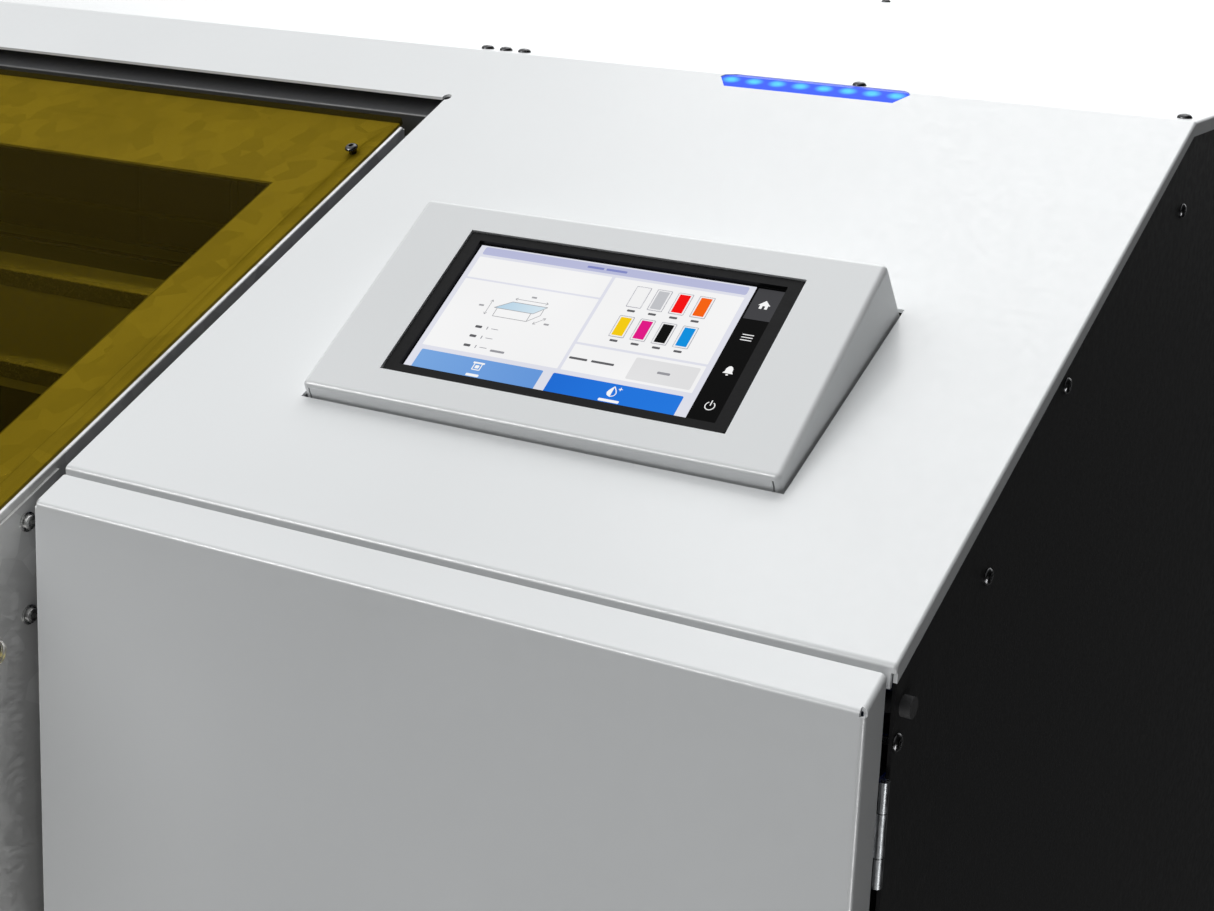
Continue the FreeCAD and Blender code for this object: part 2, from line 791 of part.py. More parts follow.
def lid_pieces():
    """The amber sheet on its folded steel frame, with a bar handle along the front."""
    amber = new_body()
    half = "lid_width / 2"
    screw_holes = [(place, "2.2") for place in LID_SCREWS]

    def lid_area(half_width, front, back):
        return [rectangle(f"{MIDDLE} - {half_width}", f"{MIDDLE} + {half_width}", front, back)]

    extrude(amber, "Pad", "XY", LID_UNDER, LID_TOP, lid_area(half, "lid_front", "lid_back"))
    up = Vector(0, 0, 1)
    round_edges(amber, "2", lambda edge: runs_along(edge, up))
    extrude(amber, "Pocket", "XY", LID_UNDER, LID_TOP, circles=screw_holes)
    keep("amber_window", put_on_slope(amber))

    frame = new_body()
    rim = f"({half} - 2)"
    bottom = f"{LID_FRAME_UNDER} - lid_flange"
    extrude(frame, "Pad", "XY", bottom, LID_UNDER, lid_area(rim, "lid_front + 1.5", "lid_back - 1.5"))
    inside = lid_area(f"({rim} - lid_sheet)", "lid_front + 3", "lid_back")
    extrude(frame, "Pocket", "XY", bottom, LID_FRAME_UNDER, inside)
    extrude(frame, "Pocket", "XY", bottom, LID_FRAME_UNDER, lid_area(half, "270", "lid_back"))
    opening = lid_area("lid_window_width / 2", "lid_window_front", "lid_window_back")
    extrude(frame, "Pocket", "XY", LID_FRAME_UNDER, LID_UNDER, opening, screw_holes)
    keep("lid_frame", put_on_slope(frame))

    screws = []
    for x, up in LID_SCREWS:
        head = cylinder((x, up, LID_TOP), "3.4", "1.9")
        screws.append(join(head, cylinder((x, up, f"{LID_FRAME_UNDER} - 3"), "1.95", "7.7")))
    keep("lid_screws", put_on_slope(group(*screws)))

    grip_front = "lid_front - 22"
    grip = box((f"{MIDDLE} - 130", grip_front, f"{LID_FRAME_UNDER} - 14"),
               (f"{MIDDLE} + 130", f"{grip_front} + 9", f"{LID_FRAME_UNDER} - 2"))
    feet = [box((f"{MIDDLE} + {x}", f"{grip_front} + 1", f"{LID_FRAME_UNDER} - 13"),
                (f"{MIDDLE} + {x} + 14", "lid_front + 1.5", f"{LID_FRAME_UNDER} - 3"))
            for x in ("-124", "110")]
    keep("lid_handle", put_on_slope(join(grip, *feet)))


def lid_hinges():
    """Butt hinges hidden under the lid's back edge, on the charcoal strip behind it."""
    pivot = ("lid_pivot_up", "-lid_pivot_drop")
    leaves, brackets, pins = [], [], []
    bore = "lid_pin_radius + pin_clearance"
    for centre in LID_HINGES:
        def along(offset):
            return f"{MIDDLE} + {centre} + {offset}"

        def knuckle(start, length):
            return cylinder((along(start), *pivot), "3.9", length, "x")

        def pin_bore():
            return cylinder((along("-40"), *pivot), bore, "80", "x")

        plate = box((along("-30"), "lid_pivot_up - 18", f"{LID_FRAME_UNDER} - 1.5"),
                    (along("30"), "lid_pivot_up + 3", LID_FRAME_UNDER))
        neck = box((along("-12"), "lid_pivot_up - 3.5", "-lid_pivot_drop"),
                   (along("12"), "lid_pivot_up", f"{LID_FRAME_UNDER} - 1"))
        leaves.append(cut(join(plate, neck, knuckle("-12", "24")), pin_bore()))
        for start in ("-30", "12.4"):
            stand = box((along(start), "lid_pivot_up - 3.8", "-strip_drop"),
                        (along(f"{start} + 17.6"), "lid_pivot_up + 3.8", "-lid_pivot_drop"))
            brackets.append(cut(join(stand, knuckle(start, "17.6")), pin_bore()))
        pins.append(cylinder((along("-31"), *pivot), "lid_pin_radius", "62", "x"))
    keep("lid_leaves", put_on_slope(group(*leaves)))
    keep("lid_brackets", put_on_slope(group(*brackets)))
    return put_on_slope(group(*pins))


def hinge_strip():
    """Charcoal Z-folded sheet behind the lid: a shelf for the lid's hinges, a wall, and a
    ledge just below the cover that closes the gap behind the window."""
    body = new_body()
    shelf_top, ledge_top = "-strip_drop", "-ledge_drop"
    low, high = f"{MIDDLE} - {MODULE_X} + 0.5", f"{MIDDLE} + {MODULE_X} - 0.5"
    shelf = rectangle(low, high, "lid_pivot_up - 6", "ledge_front + 1.5")
    extrude(body, "Pad", "XY", f"{shelf_top} - 1.5", shelf_top, [shelf])
    wall = rectangle(low, high, "ledge_front", "ledge_front + 1.5")
    extrude(body, "Pad", "XY", f"{shelf_top} - 26", ledge_top, [wall])
    ledge = rectangle(low, high, "ledge_front", "window_back + 14")
    extrude(body, "Pad", "XY", f"{ledge_top} - 1.5", ledge_top, [ledge])
    hem = rectangle(low, high, "window_back + 12.5", "window_back + 14")
    extrude(body, "Pad", "XY", f"{ledge_top} - 1", "-2.2", [hem])
    along = Vector(1, 0, 0)

    def is_ledge_bend(edge):
        place = middle(edge)
        return runs_along(edge, along) and near(place.y, "ledge_front") and near(place.z, ledge_top)

    round_edges(body, "1.2", is_ledge_bend)
    keep("hinge_strip", put_on_slope(body))


# ---------------------------------------------------------------- console

FACE_COS = "cos(console_tilt)"
FACE_SIN = "sin(console_tilt)"


def face_point(up, normal=0):
    """A point of the console's face in the slope frame, as (y, z) expressions."""
    return (f"(console_front + ({up}) * {FACE_COS} - ({normal}) * {FACE_SIN})",
            f"(console_lip + ({up}) * {FACE_SIN} + ({normal}) * {FACE_COS})")


def console_block(body, x_low, x_high, up_low, up_high, deep, proud, kind="Pad"):
    """Pad or pocket a block that lies square to the console's face."""
    corners = [face_point(up_low, deep), face_point(up_high, deep),
               face_point(up_high, proud), face_point(up_low, proud)]
    return extrude(body, kind, "YZ", x_low, x_high, [corners])


def console():
    """Folded wedge for the touch panel, its bezel and its glass."""
    right = "-console_right"
    left = "-console_right - console_width"
    body = new_body()
    skin = "1.5"
    root = "-console_root"
    outline = [
        ("console_front", root),
        ("console_front", "console_lip"),
        face_point("console_face"),
        ("console_front + console_foot", "0"),
        ("console_front + console_foot + 2", root),
    ]
    extrude(body, "Pad", "YZ", left, right, [outline])
    round_edges(body, "bend", lambda edge: middle(edge).z > number("-console_root") + 0.5)
    inner_top = face_point("console_face - 2.2", f"-{skin}")
    hollow = [
        (f"console_front + {skin}", f"{root} - 1"),
        (f"console_front + {skin}", f"console_lip - {skin}"),
        inner_top,
        (f"console_front + console_foot - {skin}", "0"),
        (f"console_front + console_foot + 2 - {skin}", f"{root} - 1"),
    ]
    extrude(body, "Pocket", "YZ", f"{left} + {skin}", f"{right} - {skin}", [hollow])
    slits = [rectangle(x, f"{x} + 0.8", f"{root} - 1", "console_lip - 2.4")
             for x in (f"{left} + 3", f"{right} - 3.8")]
    extrude(body, "Pocket", "XZ", "console_front - 1", f"console_front + {skin}", slits)
    screen_high = "-console_right - screen_right"
    screen_low = f"{screen_high} - screen_width"
    up_low, up_high = "screen_up", "screen_up + screen_height"
    cut_margin = "0.4"
    outer = (f"{screen_low} - bezel_side", f"{screen_high} + bezel_side",
             f"{up_low} - bezel_end", f"{up_high} + bezel_end")
    console_block(body, f"{outer[0]} - {cut_margin}", f"{outer[1]} + {cut_margin}",
                  f"{outer[2]} - {cut_margin}", f"{outer[3]} + {cut_margin}", "-4", "4", "Pocket")
    keep("console_housing", put_on_slope(body))

    bezel = new_body()
    console_block(bezel, outer[0], outer[1], outer[2], outer[3], "-7", "-0.8")
    normal = Vector(0, -number(FACE_SIN), number(FACE_COS))
    round_edges(bezel, "3", lambda edge: runs_along(edge, normal))
    console_block(bezel, screen_low, screen_high, up_low, up_high, "-8", "1", "Pocket")
    console_block(bezel, f"{screen_low} - 2", f"{screen_high} + 2",
                  f"{up_low} - 2", f"{up_high} + 2", "-8", "-3.2", "Pocket")
    keep("screen_bezel", put_on_slope(bezel))

    glass = new_body()
    console_block(glass, f"{screen_low} - 1.8", f"{screen_high} + 1.8",
                  f"{up_low} - 1.8", f"{up_high} + 1.8", "-5.4", "-3.2")
    keep("touch_screen", put_on_slope(glass))


# ---------------------------------------------------------------- gantry

def gantry():
    """Beam across the machine on two posts, with the carriage's rails, belt and pulleys."""
    beam_low = ("-770", "beam_y", "beam_z")
    beam_high = ("770", "beam_y + beam_depth", "beam_z + beam_height")
    shell = box(beam_low, beam_high)
    core = box(("-771", "beam_y + 6", "beam_z + 6"),
               ("771", "beam_y + beam_depth - 6", "beam_z + beam_height - 6"))
    posts = []
    for side in SIDES:
        low, high = sided(side, "post_x", "post_x + 60")
        posts.append(box((low, "beam_y", "frame_top"), (high, "beam_y + beam_depth", "beam_z + 1")))
    rails = [box(("-760", "beam_y - 9", f"beam_z + {z}"), ("760", "beam_y", f"beam_z + {z} + 12"))
             for z in ("10", "78")]
    keep("carriage_rails", group(*rails))

    belt_z = "beam_z + beam_height + 22"

    def loop(radius, start, end):
        """A racetrack round both pulleys, between two y positions."""
        straight = box(("-pulley_x", start, f"{belt_z} - ({radius})"),
                       ("pulley_x", end, f"{belt_z} + ({radius})"))
        ends = [cylinder((f"{side} * pulley_x", start, belt_z), radius, f"({end}) - ({start})", "y")
                for side in SIDES]
        return join(straight, *ends)

    outside = loop("pulley_radius + 1.7", "beam_y + 20", "beam_y + 29")
    inside = loop("pulley_radius + 0.2", "beam_y + 19", "beam_y + 30")
    keep("carriage_belt", cut(outside, inside))
    for side, name in zip(SIDES, ("drive_pulley", "idler_pulley")):
        wheel = cylinder((f"{side} * pulley_x", "beam_y + 19.5", belt_z), "pulley_radius", "10", "y")
        flanges = [cylinder((f"{side} * pulley_x", f"beam_y + {y}", belt_z), "pulley_radius + 3", "1", "y")
                   for y in ("18.6", "29.4")]
        bore = cylinder((f"{side} * pulley_x", "beam_y + 10", belt_z), "4.05", "40", "y")
        keep(name, cut(join(wheel, *flanges), bore))
    motor = box(("pulley_x - 21", "beam_y + 34", f"{belt_z} - 21"),
                ("pulley_x + 21", "beam_y + 82", f"{belt_z} + 21"))
    shaft = cylinder(("pulley_x", "beam_y + 17", belt_z), "4", "18", "y")
    idler_arm = box(("-pulley_x - 12", "beam_y + 34", "beam_z + beam_height"),
                    ("-pulley_x + 12", "beam_y + 42", f"{belt_z} + 10"))
    idler_shaft = cylinder(("-pulley_x", "beam_y + 17", belt_z), "4", "18", "y")
    keep("carriage_motor", join(motor, shaft))
    keep("gantry", join(cut(shell, core), *posts, idler_arm, idler_shaft))


HEAD_OFFSETS = ("-72", "-24", "24")


def carriage():
    """Printing carriage, parked at the right over the maintenance station."""
    centre = "carriage_park_x"

    def span(low, high):
        return f"{centre} + {low}", f"{centre} + {high}"

    x_low, x_high = span("-110", "110")
    plate = box((x_low, "beam_y - 18", "head_bottom + 10"),
                (x_high, "beam_y - 13", "beam_z + beam_height + 10"))
    blocks = []
    for offset in ("-90", "50"):
        for z in ("8", "76"):
            low, high = span(offset, f"{offset} + 40")
            base = ("beam_y - 13.2", f"beam_z + {z}")
            block = box((low, base[0], base[1]), (high, "beam_y - 1", f"{base[1]} + 16"))
            slot = box((f"{low} - 1", "beam_y - 9.06", f"{base[1]} + 1.94"),
                       (f"{high} + 1", "beam_y", f"{base[1]} + 14.06"))
            blocks.append(cut(block, slot))
    arm_low, arm_high = span("-20", "20")
    arm = box((arm_low, "beam_y - 16", "beam_z + beam_height + 2.5"),
              (arm_high, "beam_y + 17.5", "beam_z + beam_height + 8"))
    clamp = box((arm_low, "beam_y + 12", "beam_z + beam_height + 2.5"),
                (arm_high, "beam_y + 17.5", "beam_z + beam_height + 14"))

    def head_block(offset):
        low, high = span(offset, f"{offset} + 44")
        return box((low, "-42", "head_bottom"), (high, "18", "head_bottom + 90"))

    shelf = box((x_low, "-46", "head_bottom + 10"), (x_high, "beam_y - 18", "head_bottom + 14"))
    keep("print_heads", group(*[head_block(offset) for offset in HEAD_OFFSETS]))
    pockets = [head_block(offset) for offset in HEAD_OFFSETS]
    keep("carriage_plate", join(plate, arm, clamp, cut(shelf, *pockets), *blocks))
    lamps = []
    for offset in ("-150", "112"):
        low, high = span(offset, f"{offset} + 38")
        lamps.append(box((low, "-46", "head_bottom + 2"), (high, "20", "head_bottom + 120")))
    keep("uv_lamps", group(*lamps))
    cover_low, cover_high = span("-111", "111")
    hood = box((cover_low, "-58", "head_bottom + 16"), (cover_high, "beam_y - 19", "head_bottom + 175"))
    inside = box((f"{cover_low} + 2.5", "-55.5", "head_bottom + 15"),
                 (f"{cover_high} - 2.5", "beam_y - 10", "head_bottom + 172.5"))
    keep("head_cover", cut(hood, inside))


# ---------------------------------------------------------------- moving table

def table():
    """Saddle on two rails, driven by a screw, with the lifting vacuum bed on it."""
    rails = []
    for side in SIDES:
        low, high = sided(side, "160", "180")
        rails.append(box((low, "-530", "frame_top"), (high, "530", "frame_top + rail_height")))
    keep("table_rails", group(*rails))
    floor = "frame_top + rail_height + 1"
    screw_z = "frame_top + drive_screw_rise"
    width = "saddle_width / 2"
    plate = box((f"-{width}", "table_y - 200", f"{floor} + 14"),
                (width, "table_y + 200", f"{floor} + 24"))
    shoes = []
    for side in SIDES:
        for y in ("-180", "120"):
            low, high = sided(side, "154", "186")
            shoe = box((low, f"table_y + {y}", "frame_top + 6"),
                       (high, f"table_y + {y} + 60", f"{floor} + 14.5"))
            groove = box((f"{low} + 5.94", f"table_y + {y} - 1", "frame_top"),
                         (f"{high} - 5.94", f"table_y + {y} + 61", "frame_top + rail_height + 0.06"))
            shoes.append(cut(shoe, groove))
    nut = box(("-25", "table_y - 20", "frame_top + 6"), ("25", "table_y + 20", f"{floor} + 14.5"))
    nut_bore = cylinder(("0", "table_y - 21", screw_z), "8.05", "42", "y")
    keep("table_screw", cylinder(("0", "-530", screw_z), "8", "1008", "y"))
    motor = box(("-25", "481", "frame_top"), ("25", "541", f"{screw_z} + 25"))
    keep("table_motor", motor)

    towers = []
    for side in SIDES:
        low, high = sided(side, "tower_x - 6", "tower_x + 16")
        top = box((low, "table_y - 60", "tower_top - 10"), (high, "table_y + 60", "tower_top"))
        rod_x = f"{side} * (tower_x + 8)"
        rod_length = f"tower_top - 5 - ({floor}) - 23"
        rods = [cylinder((rod_x, f"table_y + {y}", f"{floor} + 23"), "6", rod_length)
                for y in ("-45", "45")]
        bore = cylinder((f"{side} * (tower_x + 5)", "table_y", "tower_top - 12"), "4.05", "14")
        towers.append(cut(join(top, *rods), bore))
    keep("table_saddle", join(plate, *shoes, cut(nut, nut_bore), *towers))
    for side, name in zip(SIDES, ("right_lift_screw", "left_lift_screw")):
        screw_x = f"{side} * (tower_x + 5)"
        thread_length = f"tower_top - 10.4 - ({floor}) - 24.4"
        thread = cylinder((screw_x, "table_y", f"{floor} + 24.4"), "6", thread_length)
        journal = cylinder((screw_x, "table_y", f"{floor} + 26"), "4", f"tower_top - ({floor}) - 26")
        keep(name, join(thread, journal))

    bed_half = "bed_width / 2"
    top, bottom = "bed_low", "bed_low - bed_height"
    bed = box((f"-{bed_half}", "table_y - bed_length / 2", bottom),
              (bed_half, "table_y + bed_length / 2", top))
    hollow = box((f"-{bed_half} + 4", "table_y - bed_length / 2 + 4", f"{bottom} + 3"),
                 (f"{bed_half} - 4", "table_y + bed_length / 2 - 4", f"{top} - 8"))
    brackets = []
    for side in SIDES:
        low, high = sided(side, "bed_width / 2 - 60", "tower_x + 16")
        arm = box((low, "table_y - 60", f"{bottom} - 12"), (high, "table_y + 60", bottom))
        holes = [cylinder((f"{side} * (tower_x + 8)", f"table_y + {y}", f"{bottom} - 14"), "6.05", "20")
                 for y in ("-45", "45")]
        holes.append(cylinder((f"{side} * (tower_x + 5)", "table_y", f"{bottom} - 14"), "6.05", "20"))
        brackets.append(cut(arm, *holes))
    keep("vacuum_bed", join(cut(bed, hollow), *brackets))


# ---------------------------------------------------------------- right module

def maintenance_station():
    """Station under the parked carriage: a tray, a cap that rises and a wiper that sweeps."""
    tray = box(("500", "-50", "frame_top"), ("690", "30", "frame_top + 280"))
    well = box(("506", "-44", "frame_top + 250"), ("684", "24", "frame_top + 290"))
    keep("maintenance_station", cut(tray, well))
    cap = box(("516", "-40", "frame_top + 254"), ("650", "14", "head_bottom - 16"))
    pocket = box(("522", "-34", "head_bottom - 24"), ("644", "8", "head_bottom - 10"))
    keep("cap_tray", cut(cap, pocket))
    wiper_base = box(("658", "-42", "frame_top + 252"), ("680", "-30", "head_bottom - 30"))
    blade = box(("660", "-37", "head_bottom - 31"), ("678", "-35", "head_bottom - 4"))
    keep("wiper", join(wiper_base, blade))


INK_COUNT = 8


def ink_slot(index):
    """Low corner of a slot in the rack: four across in two rows."""
    column, line = index % 4, index // 4
    return 452 + 78 * column, 326 + 124 * line


def ink_supply():
    """Rack behind the door with two rows of four ink cartridges, and the waste bottle."""
    rack = box(("444", "-340", "316"), ("766", "-140", "574"))
    slots = []
    inks = []
    for index in range(INK_COUNT):
        x, z = ink_slot(index)
        slots.append(box((x, "-341", z), (x + 70, "-150", z + 112)))
        shell = box((x + 1, "-352", z), (x + 69, "-152", z + 108))
        grip = box((x + 20, "-358", z + 70), (x + 50, "-351", z + 90))
        inks.append(join(shell, grip))
    legs = [box((x, y, "frame_top"), (f"{x} + 20", f"{y} + 20", "317"))
            for x in ("446", "744") for y in ("-336", "-162")]
    keep("ink_rack", join(cut(rack, *slots), *legs))
    keep("ink_cartridges", group(*inks))
    bottle = box(("500", "-330", "frame_top"), ("640", "-190", "frame_top + 180"))
    neck = cylinder(("570", "-260", "frame_top + 178"), "22", "30")
    keep("waste_bottle", join(bottle, neck))


# ---------------------------------------------------------------- left module and rear

def electronics():
    supply = box(("-770", "-330", "frame_top"), ("-560", "-130", "frame_top + 90"))
    keep("power_supply", supply)
    board = box(("-770", "-60", "frame_top + 12"), ("-530", "280", "frame_top + 14"))
    studs = [cylinder((x, y, "frame_top"), "3", "12.5") for x in ("-760", "-540") for y in ("-50", "270")]
    keep("main_board", join(board, *studs))
    pump = cylinder(("-640", "370", "frame_top"), "60", "120")
    outlet = cylinder(("-640", "370", "frame_top + 60"), "14", "90", "x")
    keep("vacuum_pump", join(pump, outlet))


def fans():
    """Two exhaust fans inside the back, each with a turning rotor and a wire guard outside."""
    rotors = []
    housings = []
    for side in SIDES:
        x = f"{side} * {FAN_X}"
        frame = box((f"{x} - 60", "rear_y - 30", f"{FAN_Z} - 60"),
                    (f"{x} + 60", "rear_y - 4", f"{FAN_Z} + 60"))
        tunnel = cylinder((x, "rear_y - 40", FAN_Z), FAN_RADIUS, "60", "y")
        spokes = [box((f"{x} - {across}", "rear_y - 30", f"{FAN_Z} - {up}"),
                      (f"{x} + {across}", "rear_y - 28", f"{FAN_Z} + {up}"))
                  for across, up in ((58, 3), (3, 58))]
        stub = cylinder((x, "rear_y - 29", FAN_Z), "3", "18", "y")
        housings.append(join(cut(frame, tunnel), *spokes, stub))
        hub = cylinder((x, "rear_y - 27", FAN_Z), "20", "20", "y")
        blades = []
        for turn in range(5):
            blade = doc.addObject("Part::Box", "Blade")
            bind(blade, "Length", "46")
            bind(blade, "Width", "16")
            bind(blade, "Height", "2")
            tilt = Rotation(Vector(1, 0, 0), 32)
            spin = Rotation(Vector(0, 1, 0), 72 * turn + 20)
            hub_centre = Vector(number(x), number("rear_y - 17"), number(FAN_Z))
            root = (spin * tilt).multVec(Vector(6, -8, -1))
            blade.Placement = Placement(hub_centre + root, spin * tilt)
            blades.append(blade)
        rotors.append(cut(join(hub, *blades), cylinder((x, "rear_y - 40", FAN_Z), "3.05", "60", "y")))
    keep("fan_housings", group(*housings))
    for name, rotor in zip(("right_fan_rotor", "left_fan_rotor"), rotors):
        keep(name, rotor)


def port_block(size, margin, front, rear):
    """A box in a cut-out of the connection plate, smaller by margin on all four sides."""
    x_low, x_high, z_low, z_high = size
    return box((f"{x_low} + {margin}", f"rear_y + ({front})", f"{z_low} + {margin}"),
               (f"{x_high} - ({margin})", f"rear_y + ({rear})", f"{z_high} - ({margin})"))


def mains_inlet():
    """Recessed mains inlet with its three contact blades."""
    x_low, x_high, z_low, z_high = INLET
    shell = join(port_block(INLET, "-4", "-2.4", "-0.4"), port_block(INLET, "0.3", "-26", "-2"))
    blades = []
    for across, up in (("-7", "-2"), ("7", "-2"), ("0", "4")):
        x = f"({x_low} + {x_high}) / 2 + {across}"
        z = f"({z_low} + {z_high}) / 2 + {up}"
        blades.append(box((f"{x} - 1", "rear_y - 25", f"{z} - 2"), (f"{x} + 1", "rear_y - 8", f"{z} + 2")))
    return join(cut(shell, port_block(INLET, "2.3", "-24", "1")), *blades)


def connections():
    """Mains inlet, rocker switch, and the plate that holds them with its two data sockets."""
    x_low, x_high, z_low, z_high = SWITCH
    collar = join(port_block(SWITCH, "-2", "-2.4", "-0.9"), port_block(SWITCH, "0.3", "-22", "-2"))
    link = box((f"{INLET[1]} + 3", "rear_y - 2.4", f"{z_low} - 2"),
               (f"{x_low} - 1", "rear_y - 0.9", f"{z_high} + 2"))
    keep("power_inlet", join(mains_inlet(), link, cut(collar, port_block(SWITCH, "2", "-20", "1"))))

    body = new_body()
    middle_x = f"({x_low} + {x_high}) / 2"
    rocker = [
        (f"{middle_x} - 9.5", "rear_y - 3"), (middle_x, "rear_y - 4.5"),
        (f"{middle_x} + 9.5", "rear_y - 0.6"), (f"{middle_x} + 9", "rear_y - 6"),
        (f"{middle_x} + 5", "rear_y - 12"), (f"{middle_x} - 5", "rear_y - 12"),
        (f"{middle_x} - 9", "rear_y - 7"),
    ]
    extrude(body, "Pad", "XY", f"{z_low} + 2.4", f"{z_high} - 2.4", [rocker])
    keep("power_switch", body)

    x_low, x_high, z_low, z_high = PORTS
    plate = cut(port_block(CONNECTION_PLATE, "0.2", "-4", "-2.4"),
                port_block(INLET, "0", "-5", "-2"), port_block(SWITCH, "0", "-5", "-2"))
    block = join(plate, port_block(PORTS, "-4", "-2.4", "-1"), port_block(PORTS, "0.5", "-22", "-2"))
    sockets = []
    for left, right, low, high in ((6, 20, 3, 14), (34, 46, 4, 13)):
        sockets.append(box((f"{x_low} + {left}", "rear_y - 16", f"{z_low} + {low}"),
                           (f"{x_low} + {right}", "rear_y + 1", f"{z_low} + {high}")))
    keep("data_ports", cut(block, *sockets))


for build in (base_frame, levelling_feet, side_panels, panel_screws, door_bumpers, rear_panel,
              top_cover, status_lamp, doors, hinges, inner_plates, bay_plates, bay_screws,
              front_cover, lid_pieces, hinge_strip, console, gantry, carriage, table,
              maintenance_station, ink_supply, electronics, fans, connections):
    build()

doc.recompute()
for thing in doc.Objects:
    if "Invalid" in thing.State or "Error" in thing.State:
        raise RuntimeError(f"{thing.Label} failed to recompute")
for thing in nodes:
    if thing.Shape.isNull() or not thing.Shape.isValid():
        raise RuntimeError(f"{thing.Label} has no valid shape")

os.makedirs("parts", exist_ok=True)
for thing in nodes:
    thing.Shape.exportStep(f"parts/{thing.Label}.step")
print(f"{len(nodes)} sub-parts written")
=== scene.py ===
import json
import math

import bmesh
import bpy
from mathutils import Matrix, Vector


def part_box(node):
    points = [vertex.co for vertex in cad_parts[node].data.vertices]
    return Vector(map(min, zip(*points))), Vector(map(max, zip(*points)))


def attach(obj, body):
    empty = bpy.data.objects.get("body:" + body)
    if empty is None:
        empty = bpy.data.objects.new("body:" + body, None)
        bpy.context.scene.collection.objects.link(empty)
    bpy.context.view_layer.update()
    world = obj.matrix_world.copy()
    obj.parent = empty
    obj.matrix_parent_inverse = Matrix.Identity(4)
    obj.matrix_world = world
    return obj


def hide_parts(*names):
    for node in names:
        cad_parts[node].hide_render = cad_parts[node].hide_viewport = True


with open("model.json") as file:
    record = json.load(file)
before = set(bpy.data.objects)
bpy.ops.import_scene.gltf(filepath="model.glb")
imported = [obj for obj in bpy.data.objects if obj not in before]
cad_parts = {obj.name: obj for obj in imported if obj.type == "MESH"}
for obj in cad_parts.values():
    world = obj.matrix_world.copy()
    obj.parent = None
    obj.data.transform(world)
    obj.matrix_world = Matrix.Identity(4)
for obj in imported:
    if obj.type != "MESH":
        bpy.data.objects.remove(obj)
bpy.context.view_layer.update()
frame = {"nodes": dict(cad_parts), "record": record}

# Lengths are metres in the row frame: +X to the machine's right, -Y to its front, +Z up.
SLOPE = math.radians(25.4)
CONSOLE_TILT = math.radians(36.1)
MM = 0.001


# ---------------------------------------------------------------- materials

class Paint:
    """A Principled material being built.  Patterns use the row frame's coordinates."""

    def __init__(self, name, colour, roughness, metallic=0.0, specular=0.5, coat=0.0):
        self.material = bpy.data.materials.new(name)
        self.material.use_nodes = True
        self.tree = self.material.node_tree
        self.shader = self.tree.nodes["Principled BSDF"]
        self.sockets = self.shader.inputs
        self.sockets["Base Color"].default_value = (*colour, 1.0)
        self.sockets["Roughness"].default_value = roughness
        self.sockets["Metallic"].default_value = metallic
        self.sockets["Specular IOR Level"].default_value = specular
        self.sockets["Coat Weight"].default_value = coat
        self.sockets["Coat Roughness"].default_value = 0.16
        self.place = self.node("ShaderNodeTexCoord").outputs["Object"]
        self.height = None

    def node(self, kind, **settings):
        made = self.tree.nodes.new(kind)
        for key, value in settings.items():
            setattr(made, key, value)
        return made

    def link(self, source, target):
        self.tree.links.new(source, target)

    def stretched(self, scale):
        """The object coordinates, scaled for each axis."""
        mapping = self.node("ShaderNodeMapping")
        mapping.inputs["Scale"].default_value = scale
        self.link(self.place, mapping.inputs["Vector"])
        return mapping.outputs["Vector"]

    def noise(self, scale, detail=3.0, stretch=(1, 1, 1)):
        """Fractal noise, about 0.2 to 0.8."""
        texture = self.node("ShaderNodeTexNoise")
        texture.inputs["Scale"].default_value = scale
        texture.inputs["Detail"].default_value = detail
        self.link(self.stretched(stretch), texture.inputs["Vector"])
        return texture.outputs["Fac"]

    def cells(self, scale, feature="F1", output="Distance", stretch=(1, 1, 1)):
        """Voronoi cells."""
        texture = self.node("ShaderNodeTexVoronoi", feature=feature)
        texture.inputs["Scale"].default_value = scale
        self.link(self.stretched(stretch), texture.inputs["Vector"])
        return texture.outputs[output]

    def axis(self, letter):
        """One object coordinate, in metres."""
        parts = self.node("ShaderNodeSeparateXYZ")
        self.link(self.place, parts.inputs["Vector"])
        return parts.outputs[letter]

    def math(self, operation, first, second=0.0):
        """A Math node on two sockets or numbers."""
        made = self.node("ShaderNodeMath", operation=operation)
        for socket, value in zip(made.inputs, (first, second)):
            if isinstance(value, (int, float)):
                socket.default_value = value
            else:
                self.link(value, socket)
        return made.outputs["Value"]

    def length(self, x, y):
        """Distance from the origin of a point in the plane."""
        squares = self.math("ADD", self.math("MULTIPLY", x, x), self.math("MULTIPLY", y, y))
        return self.math("SQRT", squares)

    def spread(self, value, start, end, low=0.0, high=1.0):
        """Map value from start..end to low..high, clamped and smooth."""
        made = self.node("ShaderNodeMapRange", interpolation_type="SMOOTHSTEP")
        for key, number in zip(("From Min", "From Max", "To Min", "To Max"), (start, end, low, high)):
            made.inputs[key].default_value = number
        self.link(value, made.inputs["Value"])
        return made.outputs["Result"]

    def blend(self, factor, first, second):
        """A colour between two colours or colour sockets."""
        made = self.node("ShaderNodeMix", data_type="RGBA")
        self.link(factor, made.inputs["Factor"])
        for socket, value in zip((made.inputs[6], made.inputs[7]), (first, second)):
            if isinstance(value, tuple):
                socket.default_value = (*value, 1.0)
            else:
                self.link(value, socket)
        return made.outputs[2]

    def colour(self, socket):
        self.link(socket, self.sockets["Base Color"])
        return self

    def rough(self, socket):
        self.link(socket, self.sockets["Roughness"])
        return self

    def bump(self, height, distance, strength=1.0):
        """Raise the surface by height, in metres of distance; several bumps add up."""
        made = self.node("ShaderNodeBump")
        made.inputs["Distance"].default_value = distance
        made.inputs["Strength"].default_value = strength
        self.link(height, made.inputs["Height"])
        if self.height is not None:
            self.link(self.height, made.inputs["Normal"])
        self.height = made.outputs["Normal"]
        self.link(self.height, self.sockets["Normal"])
        return self


